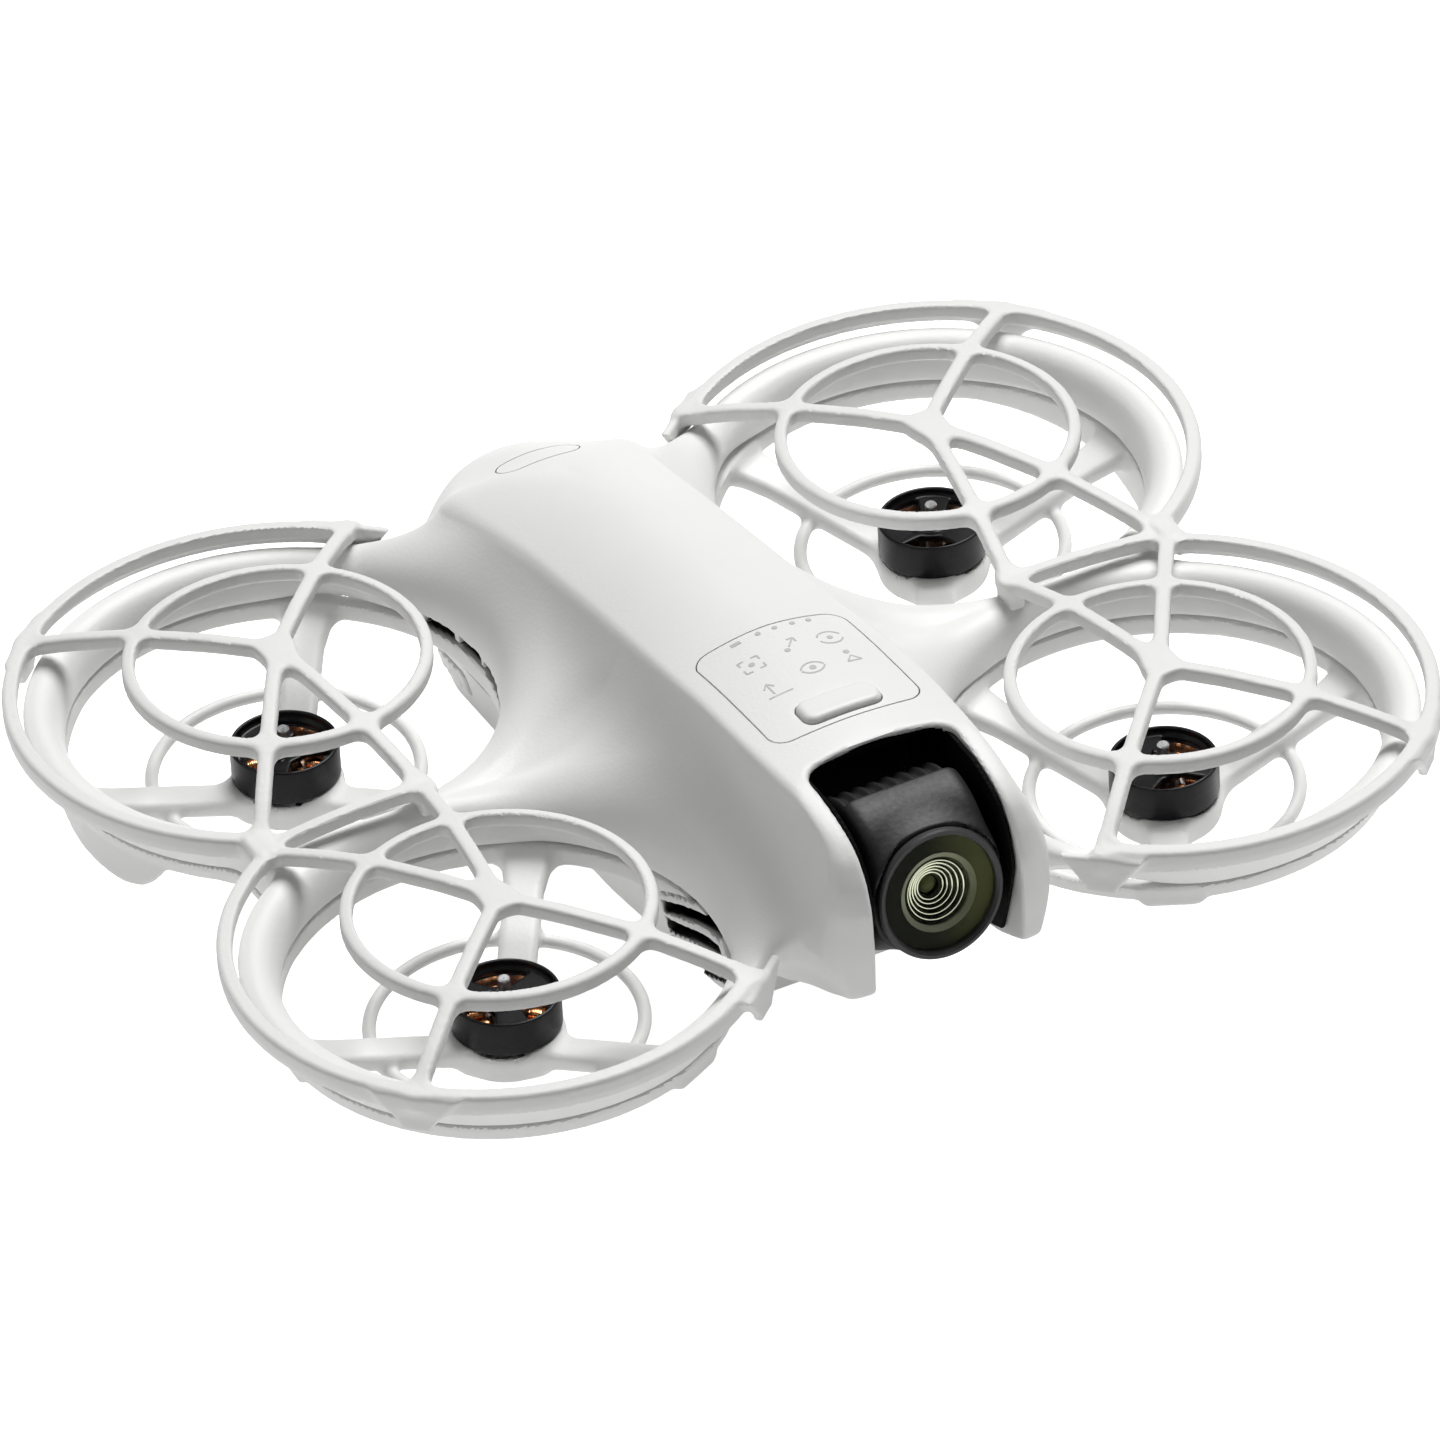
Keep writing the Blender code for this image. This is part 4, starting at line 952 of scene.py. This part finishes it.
def printed_marks():
    """Generic flight-mode pictograms and the level lights, all on the panel."""
    brackets = []
    for side in (1, -1):
        for end in (1, -1):
            corner = (side * 1.3, end * 1.3)
            brackets += [((side * 0.5, corner[1]), corner), (corner, (corner[0], end * 0.5))]
    bulge = [arc(0.0, 0.0, 1.6, 1.4, start, start + 140.0) for start in (20.0, 200.0)]
    eye = [arc(0.0, -0.6, 1.7, 1.7, 25.0, 155.0), arc(0.0, 0.6, 1.7, 1.7, 205.0, 335.0)]
    pointer = (((-0.4, -0.6), (0.8, 0.9)), ((0.0, 0.9), (0.9, 1.0)), ((0.9, 1.0), (0.9, 0.1)))
    tent = (((-1.2, -0.9), (-0.3, 0.3), (0.6, -0.9)), ((-1.2, -0.9), (0.6, -0.9)))
    lift = (((-1.6, -1.4), (1.6, -1.4)), ((-0.6, -0.9), (-0.6, 1.3)),
            ((-1.3, 0.5), (-0.6, 1.4), (0.1, 0.5)))
    # Each icon's centre, its strokes about it, and its dots' places and radii
    icons = (
        (-4.9, -19.4, brackets, ((0.0, 0.0, 0.42),)),
        (0.84, -18.3, pointer, ((-0.9, -1.2, 0.4),)),
        (5.87, -19.1, bulge, ((0.0, 0.0, 0.4),)),
        (0.8, -24.3, eye, ((0.0, 0.0, 0.45),)),
        (6.43, -24.15, tent, ((-0.4, 1.2, 0.42),)),
        (-4.83, -25.4, lift, ()),
    )
    bm = bmesh.new()
    for cx, cy, strokes, dots in icons:
        for x, y, radius in dots:
            dot(bm, cx + x, cy + y, radius)
        for stroke in strokes:
            ribbon(bm, [(cx + x, cy + y) for x, y in stroke], 0.24)
    ride(bmesh_object("printed_marks", bm, INK), "airframe", "shell_white")
    bm = bmesh.new()
    ribbon(bm, [(-5.1, -14.35), (-3.8, -14.3)], 0.6, 0.06, 0.5)
    for x in (-1.32, 0.93, 3.34, 5.55):
        dot(bm, x, -14.2, 0.36, 0.06)
    ride(bmesh_object("level_lights", bm, INK), "airframe", "smoked_window", "level_light_guide")


# --- motors ---

def bell_field(x, y, z):
    """Motor bell round the origin: rim, webbed plate and hub collar."""
    radius = np.hypot(x, y)
    rim = smax(smax(radius - BELL_R, 6.2 - radius, 0.3), smax(BELL_LOW - z, z - BELL_HIGH, 0.3), 0.35)
    plate_top = BELL_HIGH - 1.0
    plate = smax(radius - 6.4, np.abs(z - plate_top + 0.45) - 0.45, 0.2)
    angle = np.degrees(np.arctan2(y, x))
    sector = np.abs((angle + 60.0) % 120.0 - 60.0)
    half_web = 1.5 + 0.16 * np.maximum(radius - 2.0, 0.0)
    across = radius * np.sin(np.radians(np.minimum(60.0 - sector, 89.0)))
    window = smax(smax(half_web - across, 2.75 - radius, 0.5), radius - 5.75, 0.5)
    window = np.where(sector > 60.0, 1.0, window)
    plate = smax(plate, -window, 0.3)
    collar = smax(radius - 1.55, np.abs(z - plate_top - 0.2) - 0.75, 0.4)
    solid = smin(smin(rim, plate, 0.5), collar, 0.5)
    for side in (1, -1):
        post = np.hypot(x - side * 1.15, y - side * 1.9) - 0.55
        solid = smin(solid, smax(post, np.abs(z - plate_top - 0.1) - 0.6, 0.2), 0.2)
    return smax(solid, 0.85 - radius, 0.15)


def squarish(wave):
    """Fattens a sine or cosine, to turn a circle into a rounded square."""
    return math.copysign(abs(wave) ** 0.6, wave)


def winding_mesh():
    """Coils of enamelled wire, one round each of the stator's teeth."""
    teeth, rings_u, around = 9, 26, 28
    points, faces = [], []
    for tooth in range(teeth):
        turn = TURN * tooth / teeth
        base = len(points)
        for ring in range(rings_u):
            share = ring / (rings_u - 1)
            u = 2.7 + 2.1 * share
            swell = 0.78 + 0.22 * math.sin(math.pi * min(max(share, 0.02), 0.98)) ** 0.5
            ridge = 0.09 * abs(math.sin(math.pi * share * 8.0))
            for step in range(around):
                angle = TURN * step / around
                ca, sa = math.cos(angle), math.sin(angle)
                v = (0.50 + 0.11 * u) * swell * squarish(ca) + ridge * ca
                w = 1.75 * swell * squarish(sa) + ridge * sa
                px = u * math.cos(turn) - v * math.sin(turn)
                py = u * math.sin(turn) + v * math.cos(turn)
                points.append((px, py, 17.1 + w))
        for ring in range(rings_u - 1):
            for step in range(around):
                a, b = (base + ring * around + at % around for at in (step, step + 1))
                faces.append((a, a + around, b + around, b))
        for ring, outward in ((0, False), (rings_u - 1, True)):
            start = base + ring * around
            for step in range(around // 2 - 1):
                last = start + around - 1 - step
                quad = (start + step, start + step + 1, last - 1, last)
                faces.append(quad if outward else quad[::-1])
    return np.array(points), np.array(faces)


def motors():
    bell_points, bell_quads = net(bell_field, (-7.5, -7.5, 15.8), (7.5, 7.5, 22.5), 0.15)
    coil_points, coil_faces = winding_mesh()
    for number, (corner, (side, end)) in enumerate(CORNERS.items()):
        centre = np.array([side * ROTOR_X, end * ROTOR_Y, 0.0])
        turn = math.radians(25.0 + 47.0 * number)
        spin = np.array([[math.cos(turn), math.sin(turn), 0.0],
                         [-math.sin(turn), math.cos(turn), 0.0], [0.0, 0.0, 1.0]])
        bell = mesh_object(f"bell_{corner}", bell_points @ spin + centre, bell_quads, BELL)
        ride(bell, f"rotor_{corner}", "bell_black", f"motor_bell_{corner}")
        coils = mesh_object(f"coils_{corner}", coil_points + centre, coil_faces, COPPER, 60.0)
        ride(coils, "airframe", "copper_wire", f"winding_{corner}")
        shaft = turned(f"shaft_{corner}", (
            (0.0, 13.6), (0.75, 13.6), (0.75, SHAFT_TOP - 0.2), (0.62, SHAFT_TOP), (0.0, SHAFT_TOP),
        ), STEEL, 32)
        shaft.location = centre * MM
        ride(shaft, f"rotor_{corner}", "motor_steel", f"motor_shaft_{corner}")


# --- camera ---

def lens_frame(x, y, z):
    """World millimetres to the camera's own: across, up, forward."""
    dy, dz = y - PIVOT_Y, z - PIVOT_Z
    forward = -dy * math.cos(TILT) + dz * math.sin(TILT)
    up = dy * math.sin(TILT) + dz * math.cos(TILT)
    return x, up, forward


def housing_field(x, y, z):
    """Drum across the bay with a raised front half and the lens tube."""
    across, up, forward = lens_frame(x, y, z)
    turn = np.hypot(up, forward)
    ribs = 0.25 * np.cos(TURN * across / 1.9)
    drum = smax(turn - 8.7 + ribs, np.abs(across) - 7.4, 1.0)
    front = smax(smax(turn - 10.3, np.abs(across) - 8.0, 2.2), 2.4 - forward, 0.5)
    back = smin(drum, front, 0.3)
    radial = np.hypot(across, up + LENS_DROP)
    tube = smax(radial - 8.25, np.maximum(forward - LENS_FRONT + 1.2, 1.0 - forward), 0.6)
    solid = smin(back, tube, 2.4)
    seat = np.maximum(radial - 8.6, LENS_FRONT - 1.25 - forward)
    well = np.maximum(radial - 6.7, 0.6 - forward)
    return smax(solid, -np.minimum(seat, well), 0.25)


def lens_piece(name, profile, mat, slot, *nodes, segments=96):
    """Turn a profile of (radius, depth behind the lens front) on the lens axis."""
    profile = [(radius, LENS_FRONT - depth) for radius, depth in profile]
    piece = turned(name, profile, mat, segments)
    pivot = Matrix.Translation(Vector((0.0, PIVOT_Y, PIVOT_Z)) * MM)
    drop_down = Matrix.Translation((0.0, 0.0, -LENS_DROP * MM))
    face = Matrix.Rotation(math.pi / 2.0, 4, "X")
    piece.data.transform(pivot @ Matrix.Rotation(-TILT, 4, "X") @ drop_down @ face)
    ride(piece, "camera", slot, *nodes)


def glass_material():
    """Thin clear glass: see-through with a faint glossy film."""
    mat, nodes, links, shader = tree("coated_glass")
    put(shader, Base_Color=(0.0, 0.0, 0.0, 1.0), Roughness=0.06)
    clear = add(nodes, "ShaderNodeBsdfTransparent", Color=(0.97, 0.98, 0.92, 1.0))
    dust = add(nodes, "ShaderNodeTexNoise", Scale=900.0, Detail=3.0)
    on_object(dust)
    blend = add(nodes, "ShaderNodeMixShader")
    spread(dust.outputs["Fac"], 0.01, 0.03, blend.inputs["Fac"])
    links.new(clear.outputs["BSDF"], blend.inputs[1])
    links.new(shader.outputs["BSDF"], blend.inputs[2])
    links.new(blend.outputs["Shader"], nodes["Material Output"].inputs["Surface"])
    return mat


def olive_painted_reflection(name, dark, light, roughness):
    """Coated inner lens parts: a painted reflection of the coating's olive sheen, the colour running
    from the first to the second towards +X.
    """
    mat, nodes, links, shader = tree(name)
    split = add(nodes, "ShaderNodeSeparateXYZ")
    grain = add(nodes, "ShaderNodeTexNoise", Scale=1500.0, Detail=2.0)
    on_object(split, grain)
    # Painted reflection: the colour shifts along X in place of the coating's sheen
    reflection_ramp = add(nodes, "ShaderNodeMapRange", interpolation_type="SMOOTHSTEP")
    put(reflection_ramp, From_Min=-2.0 * MM, From_Max=7.5 * MM)
    links.new(split.outputs["X"], reflection_ramp.inputs["Value"])
    tint = blended(reflection_ramp.outputs["Result"], dark, light)
    links.new(tint.outputs[MIX_RESULT], shader.inputs["Base Color"])
    roughen(shader, grain.outputs["Fac"], 0.1, 0.02 * MM)
    put(shader, Roughness=roughness, Specular_IOR_Level=0.12)
    return mat


def hoop_profile(radius, depth, half=0.1, height=0.5, bevel=0.06):
    """Small closed section of a raised ring."""
    return (
        (radius - half, depth + height), (radius + half, depth + height),
        (radius + half, depth + bevel), (radius + half - bevel, depth),
        (radius - half + bevel, depth), (radius - half, depth + bevel),
    )


def camera_unit():
    """Housing, bezel, front glass and the stepped, coated lens behind it."""
    body = moulding("camera_body", housing_field, (-9.5, -59, 22), (9.5, -34, 48), 0.24, BLACK)
    ride(body, "camera", "camera_black", "camera_housing")
    lens_piece("lens_bezel", (
        (7.35, 1.1), (8.15, 1.1), (8.25, 0.9), (8.25, 0.25), (8.05, 0.0), (7.7, 0.0),
        (7.4, 0.3), (7.35, 0.6),
    ), RING, "lens_ring_grey", "lens_ring", segments=128)
    glass_r = 7.3
    dome = [(0.0, 0.35)]
    for step in range(1, 13):
        radius = glass_r * step / 12.0
        dome.append((radius, 0.35 + 0.15 * (radius / glass_r) ** 2))
    dome += [(glass_r, 0.7), (0.0, 0.7)]
    lens_piece("front_glass", dome, glass_material(), "lens_glass", "lens_glass")
    # Lens skins whose colour carries a painted reflection across them
    mask_skin = olive_painted_reflection("olive_mask", (0.003, 0.004, 0.002), (0.095, 0.10, 0.042), 0.4)
    deep_skin = olive_painted_reflection("olive_depth", (0.02, 0.022, 0.016), (0.075, 0.08, 0.052), 0.3)
    pale_skin = olive_painted_reflection("pale_band", (0.36, 0.36, 0.33), (0.20, 0.21, 0.14), 0.3)
    pupil_skin = olive_painted_reflection("olive_pupil", (0.10, 0.11, 0.05), (0.20, 0.22, 0.10), 0.12)
    shine = metal("polished_ring", (0.97, 0.97, 0.94), 0.2, 3000.0, 0.05)
    mask = ((5.05, 0.9), (glass_r, 0.9), (glass_r, 1.15), (5.05, 1.15))
    lens_piece("lens_mask", mask, mask_skin, "camera_black")
    band = ((4.35, 1.25), (5.03, 0.85), (5.04, 1.3), (4.35, 1.6))
    lens_piece("lens_band", band, pale_skin, "camera_black")
    steps = ((3.75, 1.75), (3.2, 2.2), (2.65, 2.6), (2.15, 2.95), (1.7, 3.2))
    barrel_r, barrel_depth = 5.0, 6.5
    barrel = [(0.0, barrel_depth), (barrel_r, barrel_depth), (barrel_r, 1.5)]
    for radius, depth in steps:
        barrel += [(radius + 0.3, depth), (radius + 0.25, depth + 0.3)]
    barrel += [(1.35, 3.5), (1.3, 4.4), (0.0, 4.5)]
    lens_piece("lens_steps", barrel, deep_skin, "camera_black", "lens_barrel")
    for index, (radius, depth) in enumerate(steps):
        hoop = hoop_profile(radius, depth - 0.1)
        lens_piece(f"lens_ring_{index}", hoop, shine, "lens_ring_grey", segments=72)
    pupil = ((0.0, 3.55), (0.5, 3.62), (1.0, 3.85), (1.2, 4.1), (0.0, 4.1))
    lens_piece("lens_pupil", pupil, pupil_skin, "lens_glass", segments=48)


# --- stage ---

def brighter_to_camera(cast, seen, target):
    """Glow at one strength on the object and at another in the picture."""
    path = add(target.id_data.nodes, "ShaderNodeLightPath")
    spread(path.outputs["Is Camera Ray"], cast, seen, target)


def stage():
    """Pale floor and backdrop, a large key lamp and two weak ones."""
    bm = bmesh.new()
    bmesh.ops.create_grid(bm, x_segments=2, y_segments=2, size=4000.0)
    paper = moulded("floor_paper", (0.92, 0.92, 0.92), 0.9, 60.0, 0.02, 0.003, 0.1)
    glow = paper.node_tree.nodes["Principled BSDF"]
    put(glow, Emission_Color=(1.0, 1.0, 1.0, 1.0))
    brighter_to_camera(0.22, 0.85, glow.inputs["Emission Strength"])
    bmesh_object("floor", bm, paper)
    world = bpy.data.worlds.new("studio")
    bpy.context.scene.world = world
    world.use_nodes = True
    sky = world.node_tree.nodes["Background"]
    put(sky, Color=(1.0, 1.0, 1.0, 1.0))
    brighter_to_camera(0.03, 0.88, sky.inputs["Strength"])
    lamps = (
        ("key", (0.7, 0.6, 1.8), 1.2, 46.0),
        ("fill", (-1.4, 0.2, 0.9), 1.4, 4.0),
        ("front", (0.6, -1.6, 0.9), 1.0, 0.6),
    )
    for name, place, size, power in lamps:
        lamp = bpy.data.lights.new(name, "AREA")
        lamp.shape = "DISK"
        lamp.size = size
        lamp.energy = power
        obj = linked(name, lamp)
        obj.location = place
        obj.rotation_mode = "QUATERNION"
        obj.rotation_quaternion = (-Vector(place)).to_track_quat("-Z", "Y")
    bpy.context.scene.view_settings.view_transform = "Standard"


def camera():
    """Long lens from the nose's right-hand side, slightly rolled."""
    azimuth, elevation, roll = (math.radians(a) for a in (-25.93, 36.12, -3.30))
    tip = math.pi / 2.0 - elevation
    aim = Matrix.Rotation(azimuth, 4, "Z") @ Matrix.Rotation(tip, 4, "X")
    aim = aim @ Matrix.Rotation(roll, 4, "Z")
    data = bpy.data.cameras.new("camera")
    data.sensor_width = 36.0
    data.lens = 376.0
    data.clip_end = 20.0
    obj = linked("view_camera", data)
    obj.matrix_world = Matrix.Translation((-0.6457, -1.3278, 1.1031)) @ aim
    bpy.context.scene.camera = obj


def repaint():
    """Procedural skins for the CAD nodes that stay as they are."""
    skins = {
        "shell_white": SHELL, "guard_white": GUARD, "battery_white": SHELL,
        "camera_black": BAY, "lens_ring_grey": RING, "smoked_window": SMOKED,
        "bell_black": BELL, "copper_wire": COPPER, "motor_steel": STEEL,
        "hardware_steel": DARK_STEEL, "circuit_board": BOARD, "heat_spreader_metal": FOIL,
        "antenna_ceramic": CERAMIC, "cell_pouch": FOIL, "inner_black": BAY,
    }
    slots = {entry["node"]: entry["material_slot"] for entry in frame["record"]["subparts"]}
    for node, obj in frame["nodes"].items():
        if slots[node] in skins:
            obj.data.materials.clear()
            obj.data.materials.append(skins[slots[node]])
        if node == "belly_pan":
            soften = obj.modifiers.new("soft_edges", "BEVEL")
            soften.width = 0.5 * MM
            soften.segments = 3
            soften.limit_method = "ANGLE"
            soften.angle_limit = math.radians(35.0)
            soften.harden_normals = True


repaint()
airframe()
guards()
battery()
mode_button()
printed_marks()
motors()
camera_unit()
stage()
camera()
